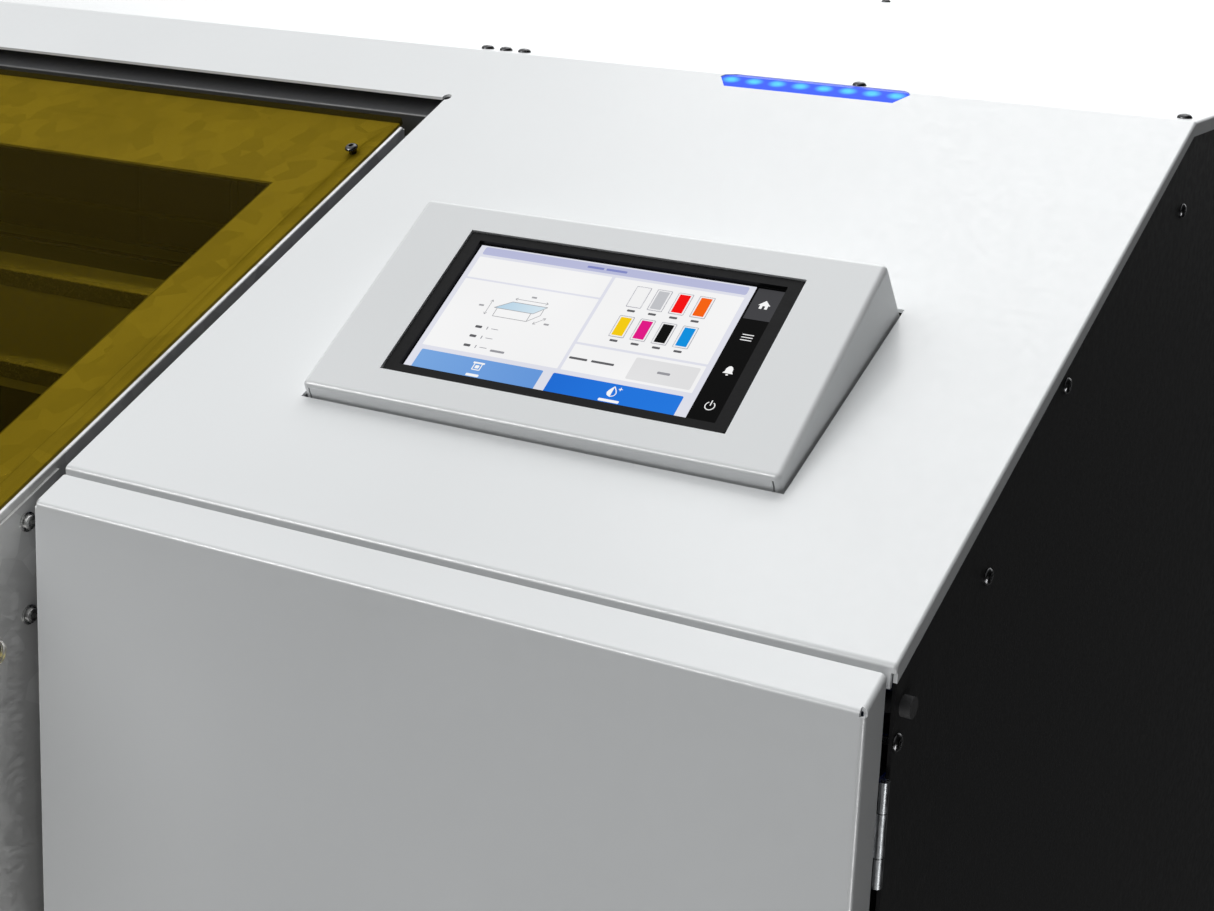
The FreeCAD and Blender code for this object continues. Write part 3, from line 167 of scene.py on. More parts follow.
def shade(colour, factor):
    """A colour made lighter or darker by a factor."""
    return tuple(channel * factor for channel in colour)


def powder_coat(name, colour, roughness, peel=0.00003, gloss=0.5, coat=0.03):
    """Baked powder coat: orange peel, fine sparkle in the gloss, faint cloudiness."""
    paint = Paint(name, colour, roughness, specular=gloss, coat=coat)
    clouds = paint.noise(5, 2)
    paint.colour(paint.blend(paint.spread(clouds, 0.3, 0.7), shade(colour, 0.975), shade(colour, 1.02)))
    paint.rough(paint.spread(paint.noise(260, 4), 0.3, 0.7, roughness - 0.05, roughness + 0.07))
    return paint.bump(paint.noise(900, 3), peel, 0.5).bump(paint.noise(2600, 2), peel * 0.4, 0.35)


def sheet_steel(name, colour, roughness, grain=(1, 1, 1), metallic=0.85):
    """Galvanised sheet: faint spangle, fine rolling grain, dull stains."""
    paint = Paint(name, colour, roughness, metallic=metallic)
    spangle = paint.cells(85, output="Color")
    grey = paint.spread(spangle, 0.1, 0.9)
    base = paint.blend(grey, shade(colour, 0.86), shade(colour, 1.1))
    stain = paint.spread(paint.noise(9, 5), 0.45, 0.75)
    paint.colour(paint.blend(stain, base, shade(colour, 0.8)))
    paint.rough(paint.spread(paint.noise(420, 4, grain), 0.25, 0.75, roughness - 0.1, roughness + 0.12))
    return paint.bump(paint.noise(1200, 2, grain), 0.00002, 0.5)


def machined(name, colour, roughness, grain, depth=0.000015):
    """Turned, ground or brushed metal: fine marks along one direction."""
    paint = Paint(name, colour, roughness, metallic=1.0)
    marks = paint.noise(900, 3, grain)
    paint.colour(paint.blend(marks, shade(colour, 0.82), shade(colour, 1.08)))
    paint.rough(paint.spread(marks, 0.3, 0.7, roughness - 0.08, roughness + 0.1))
    return paint.bump(marks, depth, 0.6)


def moulded(name, colour, roughness, grain=700, gloss=0.5):
    """Injection-moulded plastic with a fine spark-eroded texture."""
    paint = Paint(name, colour, roughness, specular=gloss)
    paint.colour(paint.blend(paint.noise(14, 3), shade(colour, 0.9), shade(colour, 1.12)))
    paint.rough(paint.spread(paint.noise(300, 3), 0.3, 0.7, roughness - 0.06, roughness + 0.08))
    return paint.bump(paint.cells(grain), 0.00004, 0.5)


def rubber(name, colour=(0.014, 0.014, 0.015)):
    """Dull rubber with uneven colour and a fine grain."""
    paint = Paint(name, colour, 0.7, specular=0.35)
    paint.colour(paint.blend(paint.noise(60, 4), shade(colour, 0.7), shade(colour, 1.7)))
    return paint.bump(paint.noise(1500, 3), 0.00005, 0.6)


def bed_plate():
    """Black anodised vacuum bed with a grid of suction holes."""
    colour = (0.035, 0.037, 0.04)
    paint = Paint("vacuum_bed", colour, 0.42, metallic=0.6)
    pitch = 0.01

    def offset(letter):
        cell = paint.math("FRACT", paint.math("DIVIDE", paint.math("ADD", paint.axis(letter), 5.0), pitch))
        return paint.math("SUBTRACT", cell, 0.5)

    x, y = offset("X"), offset("Y")
    radius = paint.length(x, y)
    # Painted shade: each suction hole is a near-black disc of colour that stands for the shade inside the
    # hole.
    hole_shade = paint.spread(radius, 0.1, 0.14, 1.0, 0.0)
    worn = paint.blend(paint.noise(24, 4), shade(colour, 0.75), shade(colour, 1.5))
    paint.colour(paint.blend(hole_shade, worn, (0.002, 0.002, 0.002)))
    paint.rough(paint.spread(paint.noise(300, 3), 0.3, 0.7, 0.34, 0.52))
    return paint.bump(paint.spread(radius, 0.1, 0.16), 0.0006)


def amber_sheet():
    """Clear amber acrylic: tinted, glossy, with faint haze and polishing streaks."""
    paint = Paint("amber_acrylic", (0.20, 0.13, 0.004), 0.12, specular=0.5)
    clear = paint.node("ShaderNodeBsdfTransparent")
    clear.inputs["Color"].default_value = (0.724, 0.66, 0.32, 1.0)
    mix = paint.node("ShaderNodeMixShader")
    haze = paint.spread(paint.noise(3.5, 3, (0.35, 1.6, 1.6)), 0.35, 0.75, 0.004, 0.02)
    paint.link(haze, mix.inputs["Fac"])
    paint.link(clear.outputs["BSDF"], mix.inputs[1])
    paint.link(paint.shader.outputs["BSDF"], mix.inputs[2])
    gloss = paint.node("ShaderNodeBsdfGlossy")
    gloss.inputs["Roughness"].default_value = 0.06
    gloss.inputs["Color"].default_value = (0.16, 0.12, 0.02, 1.0)
    slant = paint.node("ShaderNodeLayerWeight")
    slant.inputs["Blend"].default_value = 0.04
    top = paint.node("ShaderNodeMixShader")
    paint.link(slant.outputs["Facing"], top.inputs["Fac"])
    paint.link(mix.outputs["Shader"], top.inputs[1])
    paint.link(gloss.outputs["BSDF"], top.inputs[2])
    paint.link(top.outputs["Shader"], paint.node("ShaderNodeOutputMaterial").inputs["Surface"])
    paint.tree.nodes.remove(paint.tree.nodes["Material Output"])
    paint.rough(paint.spread(paint.noise(40, 4, (0.2, 1, 1)), 0.3, 0.7, 0.08, 0.2))
    return paint


def lit_lens(count=8):
    """Blue diffuser with the hot spots of the LEDs behind it, evenly along X."""
    low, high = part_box("status_lens")
    paint = Paint("status_blue", (0.0, 0.01, 0.10), 0.35, specular=0.1)
    pitch = (high.x - low.x) / count
    along = paint.math("DIVIDE", paint.math("SUBTRACT", paint.axis("X"), low.x), pitch)
    x = paint.math("MULTIPLY", paint.math("SUBTRACT", paint.math("FRACT", along), 0.5), pitch)
    y = paint.math("MULTIPLY", paint.math("SUBTRACT", paint.axis("Y"), low.y + 0.0065), 1.7)
    radius = paint.length(x, y)
    spot = paint.spread(radius, 0.0008, 0.0062, 1.0, 0.0)
    grain = paint.spread(paint.noise(500, 3), 0.2, 0.8, 0.85, 1.0)
    glow = paint.blend(paint.math("MULTIPLY", spot, grain), (0.0, 0.06, 0.80), (0.06, 0.62, 1.0))
    paint.link(glow, paint.sockets["Emission Color"])
    paint.sockets["Emission Strength"].default_value = 1.1
    return paint.bump(paint.noise(700, 2), 0.00003)


def screen_image():
    """Lit picture of the touch panel: colours come from the mesh, with backlight unevenness."""
    paint = Paint("screen_image", (0.001, 0.001, 0.001), 0.3, specular=0.03)
    tint = paint.node("ShaderNodeVertexColor", layer_name="tint").outputs["Color"]
    clouds = paint.spread(paint.noise(18, 1), 0.2, 0.8, 0.0, 0.05)
    lit = paint.blend(clouds, tint, (0.0, 0.0, 0.0))
    paint.link(lit, paint.sockets["Emission Color"])
    paint.sockets["Emission Strength"].default_value = 0.93
    return paint.bump(paint.noise(2500, 1), 0.000004, 0.3)


def circuit_board():
    """Green solder resist over a pattern of tracks."""
    colour = (0.012, 0.11, 0.05)
    paint = Paint("circuit_board", colour, 0.35, coat=0.3)
    tracks = paint.cells(260, feature="DISTANCE_TO_EDGE", stretch=(1, 0.4, 1))
    paint.colour(paint.blend(paint.spread(tracks, 0.03, 0.08), (0.03, 0.2, 0.09), colour))
    return paint.bump(tracks, 0.0001, 0.4)


INKS = ((0.75, 0.75, 0.74), (0.32, 0.33, 0.35), (0.75, 0.02, 0.02), (0.85, 0.2, 0.01),
        (0.85, 0.6, 0.0), (0.7, 0.01, 0.25), (0.01, 0.01, 0.01), (0.0, 0.27, 0.7))


def translucent_bottle():
    """Milky plastic bottle, darker up to the level of the waste inside."""
    colour = (0.78, 0.80, 0.78)
    paint = Paint("bottle_plastic", colour, 0.32)
    level = paint.spread(paint.axis("Z"), 0.135, 0.138, 0.0, 1.0)
    paint.colour(paint.blend(level, (0.16, 0.13, 0.17), colour))
    paint.sockets["Subsurface Weight"].default_value = 0.2
    return paint.bump(paint.noise(45, 2), 0.0006, 0.4)


def make_materials():
    """One material for each of the record's slots, and the extra ones that some pieces need."""
    return {
        "white_powder_coat": powder_coat("white_powder_coat", (0.79, 0.805, 0.812), 0.4,
                                         gloss=0.6, coat=0.25),
        "black_powder_coat": powder_coat("black_powder_coat", (0.006, 0.006, 0.0065), 0.5,
                                         0.000002, gloss=0.25),
        "hinge_steel": machined("hinge_steel", (0.16, 0.165, 0.17), 0.38, (1, 1, 0.2), 0.000002),
        "trim_steel": machined("trim_steel", (0.26, 0.26, 0.25), 0.35, (0.2, 1, 1)),
        "charcoal_coat": powder_coat("charcoal_coat", (0.11, 0.112, 0.117), 0.45),
        "lid_steel": sheet_steel("lid_steel", (0.84, 0.84, 0.83), 0.5, (1, 0.3, 1), metallic=0.0),
        "galvanised_steel": sheet_steel("galvanised_steel", (0.72, 0.72, 0.71), 0.42, (1, 0.3, 1),
                                        metallic=0.35),
        "zinc_steel": machined("zinc_steel", (0.5, 0.5, 0.49), 0.3, (0.2, 1, 1)),
        "black_steel": machined("black_steel", (0.07, 0.07, 0.072), 0.24, (1, 1, 1)),
        "black_anodised": machined("black_anodised", (0.02, 0.021, 0.023), 0.45, (0.3, 0.3, 1)),
        "foot_rubber": rubber("foot_rubber"),
        "black_rubber": rubber("black_rubber", (0.03, 0.03, 0.031)),
        "amber_acrylic": amber_sheet(),
        "blue_diffuser": lit_lens(),
        "screen_glass": moulded("screen_glass", (0.004, 0.004, 0.005), 0.08, 2500),
        "black_plastic": moulded("black_plastic", (0.004, 0.004, 0.0045), 0.45, gloss=0.1),
        "grey_plastic": moulded("grey_plastic", (0.17, 0.175, 0.18), 0.45),
        "aluminium": machined("aluminium", (0.45, 0.455, 0.46), 0.36, (0.15, 1, 1)),
        "bearing_steel": machined("bearing_steel", (0.42, 0.42, 0.425), 0.2, (1, 0.2, 1)),
        "motor_black": powder_coat("motor_black", (0.013, 0.013, 0.014), 0.4, 0.00005),
        "grey_anodised": machined("grey_anodised", (0.12, 0.125, 0.13), 0.42, (0.3, 1, 1)),
        "belt_rubber": rubber("belt_rubber"),
        "board_green": circuit_board(),
        "ink_plastic": moulded("ink_plastic", (0.03, 0.03, 0.033), 0.35),
        "bottle_plastic": translucent_bottle(),
        "bed_plate": bed_plate(),
        "screen_image": screen_image(),
        **{f"ink_{index}": moulded(f"ink_{index}", colour, 0.3) for index, colour in enumerate(INKS, 1)},
    }


MATERIALS = make_materials()
SPECIAL = {"vacuum_bed": "bed_plate", "lid_frame": "lid_steel", "frame_leaves": "hinge_steel",
           "door_leaves": "hinge_steel", "hinge_pins": "hinge_steel"}


def paint_cad_nodes():
    """Give every CAD node its slot's material."""
    for part in frame["record"]["subparts"]:
        node = frame["nodes"][part["node"]]
        slot = SPECIAL.get(part["node"], part["material_slot"])
        node.data.materials.clear()
        node.data.materials.append(MATERIALS[slot].material)


# Machined and moulded blocks that get small rounded edges, in millimetres.
SOFT_EDGES = {
    "gantry": 0.8, "carriage_plate": 0.6, "head_cover": 2.0, "print_heads": 0.8, "uv_lamps": 1.0,
    "carriage_motor": 1.5, "carriage_rails": 0.4, "table_rails": 0.5, "table_motor": 1.5,
    "table_saddle": 0.6, "vacuum_bed": 1.0, "maintenance_station": 1.5, "cap_tray": 1.0,
    "wiper": 0.5, "ink_rack": 1.0, "ink_cartridges": 1.5, "waste_bottle": 6.0, "power_supply": 0.8,
    "vacuum_pump": 2.0, "fan_housings": 0.8, "lid_handle": 1.5, "levelling_feet": 1.0,
    "base_frame": 1.5, "door_bumpers": 0.5, "power_inlet": 0.4, "data_ports": 0.4,
}


def soften_edges():
    """Round the sharp edges of the plain blocks with modifiers."""
    for name, width in SOFT_EDGES.items():
        node = frame["nodes"][name]
        weld = node.modifiers.new("weld", "WELD")
        weld.merge_threshold = 0.00002
        bevel = node.modifiers.new("bevel", "BEVEL")
        bevel.width = width * MM
        bevel.segments = 2
        bevel.limit_method = "ANGLE"
        bevel.angle_limit = math.radians(40)
        bevel.harden_normals = False


def part_amber_from_frame():
    """Shrink the amber sheet by a hair, so that it doesn't share a plane with its frame."""
    node = frame["nodes"]["amber_window"]
    weld = node.modifiers.new("weld", "WELD")
    weld.merge_threshold = 0.00002
    shrink = node.modifiers.new("shrink", "DISPLACE")
    shrink.mid_level = 0.0
    shrink.strength = -0.04 * MM


paint_cad_nodes()
soften_edges()
part_amber_from_frame()


# ---------------------------------------------------------------- mesh code

def finish_piece(name, mesh, slot, body, smooth_deg=35):
    """Turn a bmesh into a named piece with its material that rides on a body."""
    bmesh.ops.recalc_face_normals(mesh, faces=mesh.faces)
    data = bpy.data.meshes.new(name)
    mesh.to_mesh(data)
    mesh.free()
    data.materials.append(MATERIALS[slot].material)
    piece = bpy.data.objects.new(name, data)
    bpy.context.scene.collection.objects.link(piece)
    data.shade_smooth()
    data.set_sharp_from_angle(angle=math.radians(smooth_deg))
    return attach(piece, body)


# ---------------------------------------------------------------- touch panel's picture

GREY_TEXT = (0.12, 0.12, 0.13)
PALE_TEXT = (0.33, 0.33, 0.36)
WHITE = (1.0, 1.0, 1.0)
SCREEN_HEIGHT = 77


def screen_place():
    """Matrix from the picture's millimetres (right, up, out) to the row frame."""
    glass = frame["nodes"]["touch_screen"]
    out = Vector((0, -math.sin(CONSOLE_TILT), math.cos(CONSOLE_TILT)))
    up = Vector((0, math.cos(CONSOLE_TILT), math.sin(CONSOLE_TILT)))
    corners = [vertex.co for vertex in glass.data.vertices]
    left = min(corner.x for corner in corners) + 1.8 * MM
    foot = min(corner.dot(up) for corner in corners) + 1.8 * MM
    front = max(corner.dot(out) for corner in corners)
    origin = Vector((left, 0, 0)) + up * foot + out * front
    place = Matrix((Vector((1, 0, 0)), up, out)).transposed().to_4x4() @ Matrix.Scale(MM, 4)
    place.translation = origin
    return place


class Picture:
    """Flat coloured shapes in layers; x runs right and y runs down, in millimetres."""

    def __init__(self):
        self.mesh = bmesh.new()
        self.tint = self.mesh.loops.layers.float_color.new("tint")

    def shape(self, points, colour, layer, right_colour=None):
        """A polygon; with right_colour its tint runs from colour on the left to that."""
        verts = [self.mesh.verts.new((x, SCREEN_HEIGHT - y, 0.12 + 0.05 * layer)) for x, y in points]
        face = self.mesh.faces.new(verts)
        low = min(x for x, _ in points)
        width = max(x for x, _ in points) - low
        for loop in face.loops:
            share = (loop.vert.co.x - low) / width if right_colour else 0.0
            mixed = [a + ((right_colour or colour)[i] - a) * share for i, a in enumerate(colour)]
            loop[self.tint] = (*mixed, 1.0)

    def panel(self, x_low, x_high, y_low, y_high, colour, layer, radius=0.4, right_colour=None):
        """A rectangle with rounded corners."""
        corners = ((x_high - radius, y_high - radius, 0), (x_low + radius, y_high - radius, 90),
                   (x_low + radius, y_low + radius, 180), (x_high - radius, y_low + radius, 270))
        points = []
        for x, y, start in corners:
            for step in range(5):
                angle = math.radians(start + step * 22.5)
                points.append((x + radius * math.cos(angle), y + radius * math.sin(angle)))
        self.shape(points, colour, layer, right_colour)

    def stroke(self, start, end, width, colour, layer):
        """A straight line of the given width."""
        along = Vector((end[0] - start[0], end[1] - start[1])).normalized()
        side = Vector((-along.y, along.x)) * width / 2
        ends = [(start, 1), (end, 1), (end, -1), (start, -1)]
        self.shape([(x + side.x * s, y + side.y * s) for (x, y), s in ends], colour, layer)

    def path(self, points, width, colour, layer):
        """Straight strokes through the points."""
        for start, end in zip(points, points[1:]):
            self.stroke(start, end, width, colour, layer)

    def ring(self, centre, radius, start_deg, end_deg, width, colour, layer):
        """An arc between two angles."""
        steps = 20
        points = []
        for step in range(steps + 1):
            angle = math.radians(start_deg + (end_deg - start_deg) * step / steps)
            points.append((centre[0] + radius * math.cos(angle), centre[1] + radius * math.sin(angle)))
        self.path(points, width, colour, layer)

    def arrow(self, start, end, colour, layer):
        """A line with a small open head at both ends."""
        self.stroke(start, end, 0.3, colour, layer)
        along = Vector((end[0] - start[0], end[1] - start[1])).normalized()
        side = Vector((-along.y, along.x))
        for tip, sign in ((start, 1), (end, -1)):
            for turn in (1, -1):
                barb = Vector(tip) + along * sign * 1.2 + side * turn * 0.8
                self.stroke(tip, barb, 0.3, colour, layer)


def draw_ink_swatches(picture):
    """Eight framed colour swatches with a short bar under each."""
    tints = ((0.97, 0.97, 0.97), (0.58, 0.59, 0.62), (1.0, 0.0, 0.0), (1.0, 0.13, 0.0),
             (1.0, 0.66, 0.0), (0.83, 0.005, 0.26), (0.0, 0.0, 0.0), (0.0, 0.30, 0.80))
    for index, tint in enumerate(tints):
        x = 89.8 + 10.25 * (index % 4)
        y = 10.4 + 17.6 * (index // 4)
        picture.panel(x - 3.7, x + 3.7, y, y + 12.5, (0.42, 0.42, 0.47), 2, 0.5)
        picture.panel(x - 3.3, x + 3.3, y + 0.4, y + 12.1, (0.96, 0.96, 0.97), 3, 0.3)
        picture.panel(x - 2.6, x + 2.6, y + 1.0, y + 11.5, tint, 4, 0.2)
        picture.panel(x - 1.9, x + 1.9, y + 13.9, y + 15.1, GREY_TEXT, 3, 0.4)


def draw_media_pane(picture):
    """A drawing of a flat object with its three dimensions."""
    line = (0.4, 0.4, 0.42)
    picture.shape([(26, 35.6), (33.2, 30.8), (51.2, 30.8), (46, 35.6)], (0.50, 0.70, 0.86), 3,
                  right_colour=(0.72, 0.85, 0.93))
    picture.path([(26, 35.6), (33.2, 30.8), (51.2, 30.8), (46, 35.6), (26, 35.6)], 0.35, line, 4)
    picture.path([(27.6, 35.8), (27.6, 40.4), (45, 40.4), (45, 35.8)], 0.35, line, 3)
    picture.path([(45, 40.4), (49.9, 35.9), (49.9, 32.4)], 0.35, line, 3)
    picture.arrow((33.6, 28.8), (50.4, 28.8), line, 3)
    picture.arrow((23.2, 31.4), (23.2, 40.2), line, 3)
    picture.arrow((48.6, 41.2), (53.4, 37.0), line, 3)
    for x, y in ((42.0, 26.4), (19.2, 35.4), (55.2, 40.2)):
        picture.panel(x - 1.3, x + 1.3, y - 0.5, y + 0.5, line, 3, 0.3)
    for y in (47.7, 53.2, 58.8):
        picture.panel(22.8, 26.2, y - 0.7, y + 0.7, GREY_TEXT, 3, 0.4)
        picture.panel(28.7, 29.2, y - 0.9, y + 0.9, PALE_TEXT, 3, 0.2)
        picture.stroke((31.0, y), (34.6, y), 0.35, PALE_TEXT, 3)
    picture.panel(36.8, 44.0, 58.9, 60.1, PALE_TEXT, 3, 0.4)


def draw_side_icons(picture):
    """House, menu, bell and power marks in the black column."""
    x = 146.9
    picture.shape([(x - 2.8, 10.4), (x, 7.6), (x + 2.8, 10.4), (x + 1.9, 10.4), (x + 1.9, 12.4),
                   (x + 0.6, 12.4), (x + 0.6, 10.7), (x - 0.6, 10.7), (x - 0.6, 12.4), (x - 1.9, 12.4),
                   (x - 1.9, 10.4)], WHITE, 4)
    for y in (27.5, 29.0, 30.5):
        picture.stroke((x - 2.6, y), (x + 2.6, y), 0.45, WHITE, 4)
    bell = [(x - 2.4, 49.4), (x - 1.7, 48.4), (x - 1.6, 46.8), (x - 0.9, 45.7), (x, 45.3),
            (x + 0.9, 45.7), (x + 1.6, 46.8), (x + 1.7, 48.4), (x + 2.4, 49.4)]
    picture.shape(bell, WHITE, 4)
    picture.panel(x - 0.6, x + 0.6, 49.8, 50.5, WHITE, 4, 0.3)
    picture.ring((x, 67.4), 2.1, -60, 240, 0.45, WHITE, 4)
    picture.stroke((x, 64.4), (x, 67.2), 0.5, WHITE, 4)


def draw_buttons(picture):
    """Two blue buttons with a printer mark and a drop mark."""
    picture.panel(4.6, 66.8, 65.0, 77.0, (0.20, 0.41, 0.80), 2, 0.7, right_colour=(0.14, 0.34, 0.78))
    picture.panel(71.8, 134.0, 65.0, 77.0, (0.010, 0.16, 0.72), 2, 0.7, right_colour=(0.014, 0.20, 0.80))
    x = 35.6
    picture.panel(x - 2.9, x + 2.9, 66.9, 67.8, WHITE, 3, 0.2)
    picture.path([(x - 1.9, 67.8), (x - 1.9, 71.2), (x + 1.9, 71.2), (x + 1.9, 67.8)], 0.5, WHITE, 3)
    picture.panel(x - 1.0, x + 1.0, 68.6, 70.4, WHITE, 3, 0.4)
    picture.panel(32.4, 38.9, 73.6, 75.0, WHITE, 3, 0.5)
    x = 102.4
    drop = [(x, 66.5), (x + 1.5, 68.6), (x + 2.1, 69.9), (x + 1.6, 71.3), (x, 72.0),
            (x - 1.6, 71.3), (x - 2.1, 69.9), (x - 1.5, 68.6)]
    picture.path(drop + drop[:1], 0.45, WHITE, 3)
    picture.shape([point for point in drop if point[0] <= x], WHITE, 3)
    picture.stroke((x + 2.2, 67.4), (x + 4.0, 67.4), 0.4, WHITE, 3)
    picture.stroke((x + 3.1, 66.5), (x + 3.1, 68.3), 0.4, WHITE, 3)
    picture.panel(98.0, 107.8, 73.6, 75.0, WHITE, 3, 0.5)


def draw_screen():
    """The touch panel's picture: panes, swatches, buttons and marks, with no words."""
    picture = Picture()
    picture.panel(0.2, 153.8, 0.2, 76.8, (0.0, 0.0, 0.0), 0, 0.6)
    picture.panel(0.5, 139.4, 0.7, 76.95, (0.80, 0.81, 0.90), 1, 0.3)
    picture.panel(3.4, 136.5, 1.5, 6.1, (0.52, 0.54, 0.77), 2, 1.0)
    picture.panel(57.8, 66.2, 3.2, 4.5, (0.24, 0.27, 0.60), 3, 0.4)
    picture.panel(67.4, 77.8, 3.2, 4.5, (0.24, 0.27, 0.60), 3, 0.4)
    for x_low, x_high, y_low, y_high in ((3.2, 72.2, 7.6, 20.4), (3.2, 72.2, 21.4, 62.6),
                                         (73.8, 136.5, 7.6, 46.5), (73.8, 136.5, 47.7, 62.6)):
        picture.panel(x_low, x_high, y_low, y_high, (0.985, 0.985, 0.99), 2, 0.4)
    picture.panel(140.5, 153.6, 1.2, 18.8, (0.055, 0.055, 0.06), 2, 0.3)
    draw_media_pane(picture)
    draw_ink_swatches(picture)
    picture.panel(74.6, 83.4, 54.9, 56.1, GREY_TEXT, 3, 0.4)
    picture.panel(85.4, 96.4, 54.9, 56.1, GREY_TEXT, 3, 0.4)
    picture.panel(104.4, 134.8, 49.2, 61.4, (0.82, 0.82, 0.83), 3, 0.8)
    picture.panel(117.0, 123.0, 54.7, 56.0, PALE_TEXT, 4, 0.4)
    draw_buttons(picture)
    draw_side_icons(picture)
    picture.mesh.transform(screen_place())
    finish_piece("screen_picture", picture.mesh, "screen_image", "machine")


draw_screen()


# ---------------------------------------------------------------- screws

RING = 24


def ring(mesh, radius, height, place, sides=0):
    """A closed ring of vertices; sides=6 makes it a hexagon with that corner radius."""
    verts = []
    for step in range(RING):
        angle = 2 * math.pi * step / RING
        reach = radius
        if sides:
            half = math.pi / sides
            reach = radius * math.cos(half) / math.cos((angle % (2 * half)) - half)
        point = Vector((reach * math.cos(angle), reach * math.sin(angle), height))
        verts.append(mesh.verts.new(place @ point))
    return verts


def lathe(mesh, rows, place):
    """Skin rings (radius, height, sides) in order and close both ends."""
    rings = [ring(mesh, radius * MM, height * MM, place, sides) for radius, height, sides in rows]
    for lower, upper in zip(rings, rings[1:]):
        for index in range(RING):
            after = (index + 1) % RING
            mesh.faces.new((lower[index], lower[after], upper[after], upper[index]))
    mesh.faces.new(list(reversed(rings[0])))
    mesh.faces.new(rings[-1])


# Rows start at the shank's end; height 0 is the face that the head rests on.
BUTTON_HEAD = ((1.95, -6, 0), (1.95, 0, 0), (3.45, 0, 0), (3.6, 0.15, 0), (3.6, 0.4, 0), (3.35, 0.95, 0),
               (2.75, 1.5, 0), (2.1, 1.8, 0), (1.62, 1.84, 0), (1.45, 1.8, 6), (1.4, 1.7, 6), (1.4, 0.6, 6))
PAN_HEAD = ((1.95, -7, 0), (1.95, 0, 0), (4.3, 0, 0), (4.5, 0.12, 0), (4.5, 0.68, 0), (4.3, 0.8, 0),
            (3.3, 0.8, 0), (3.3, 1.9, 0), (3.05, 2.5, 0), (2.4, 2.85, 0), (1.55, 2.95, 0),
            (1.35, 2.85, 6), (1.3, 1.6, 6))


def islands(node):
    """The node's separate solids, each as a list of its vertices' places."""
    mesh = bmesh.new()
    mesh.from_mesh(frame["nodes"][node].data)
    bmesh.ops.remove_doubles(mesh, verts=mesh.verts, dist=0.00002)
    todo = set(mesh.verts)
    found = []
    while todo:
        group, front = [], [todo.pop()]
        while front:
            vert = front.pop()
            group.append(vert.co.copy())
            for edge in vert.link_edges:
                other = edge.other_vert(vert)
                if other in todo:
                    todo.remove(other)
                    front.append(other)
        found.append(group)
    mesh.free()
    return found


def screw_place(points, axis, head_radius):
    """Matrix with its origin under the screw's head and +Z out through the head."""
    centre = sum(points, Vector()) / len(points)
    heights = [(point - centre).dot(axis) for point in points]
    wide = [(point - centre).dot(axis) for point in points
            if ((point - centre) - axis * (point - centre).dot(axis)).length > head_radius * 0.9]
    out = axis if abs(max(wide) - max(heights)) < abs(min(wide) - min(heights)) else -axis
    seat = min(wide) if out is axis else max(wide)
    place = out.to_track_quat("Z", "Y").to_matrix().to_4x4()
    place.translation = middle_line(points, axis) + axis * (centre.dot(axis) + seat)
    return place


def middle_line(points, axis):
    """Centre of the points' box, with its part along the axis taken away."""
    low = Vector([min(point[i] for point in points) for i in range(3)])
    high = Vector([max(point[i] for point in points) for i in range(3)])
    middle = (low + high) / 2
    return middle - axis * middle.dot(axis)


def longest_axis(points):
    """The screw's direction: X, Z or the slope's normal."""
    slope_normal = Vector((0, -math.sin(SLOPE), math.cos(SLOPE)))
    widths = []
    for axis in (Vector((1, 0, 0)), Vector((0, 0, 1)), slope_normal):
        rest = [point - axis * point.dot(axis) for point in points]
        middle = sum(rest, Vector()) / len(rest)
        widths.append((max((point - middle).length for point in rest), tuple(axis)))
    return Vector(min(widths)[1])


def fit_screws(node, name, profile, head_radius, slot, body):
    """Real screws with sockets in the places of the node's plain ones."""
    mesh = bmesh.new()
    for points in islands(node):
        lathe(mesh, profile, screw_place(points, longest_axis(points), head_radius * MM))
    screws = finish_piece(name, mesh, slot, body)
    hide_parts(node)


fit_screws("panel_screws", "panel_button_screws", BUTTON_HEAD, 3.6, "black_steel", "machine")
fit_screws("lid_screws", "lid_button_screws", BUTTON_HEAD, 3.4, "black_steel", "lid")
fit_screws("bay_screws", "bay_pan_screws", PAN_HEAD, 4.5, "zinc_steel", "machine")


# ---------------------------------------------------------------- trim and guards

def tube_path(mesh, points, radius, closed=False, sides=8):
    """A round wire through the points."""
    count = len(points)
    angles = [2 * math.pi * step / sides for step in range(sides)]
    spokes = [Vector((radius * math.cos(angle), radius * math.sin(angle), 0)) for angle in angles]
    rings = []
    for index, point in enumerate(points):
        before = points[index - 1] if closed or index else point
        after = points[(index + 1) % count] if closed or index < count - 1 else point
        turn = (after - before).to_track_quat("Z", "Y").to_matrix()
        rings.append([mesh.verts.new(point + turn @ spoke) for spoke in spokes])
    pairs = list(zip(rings, rings[1:])) + ([(rings[-1], rings[0])] if closed else [])
    for lower, upper in pairs:
        for step in range(sides):
            after = (step + 1) % sides
            mesh.faces.new((lower[step], lower[after], upper[after], upper[step]))
    if not closed:
        mesh.faces.new(list(reversed(rings[0])))
        mesh.faces.new(rings[-1])


def circle(centre, radius, count=48):
    """Points of an upright circle that faces the back."""
    return [centre + Vector((radius * math.cos(2 * math.pi * step / count), 0,
                             radius * math.sin(2 * math.pi * step / count))) for step in range(count)]


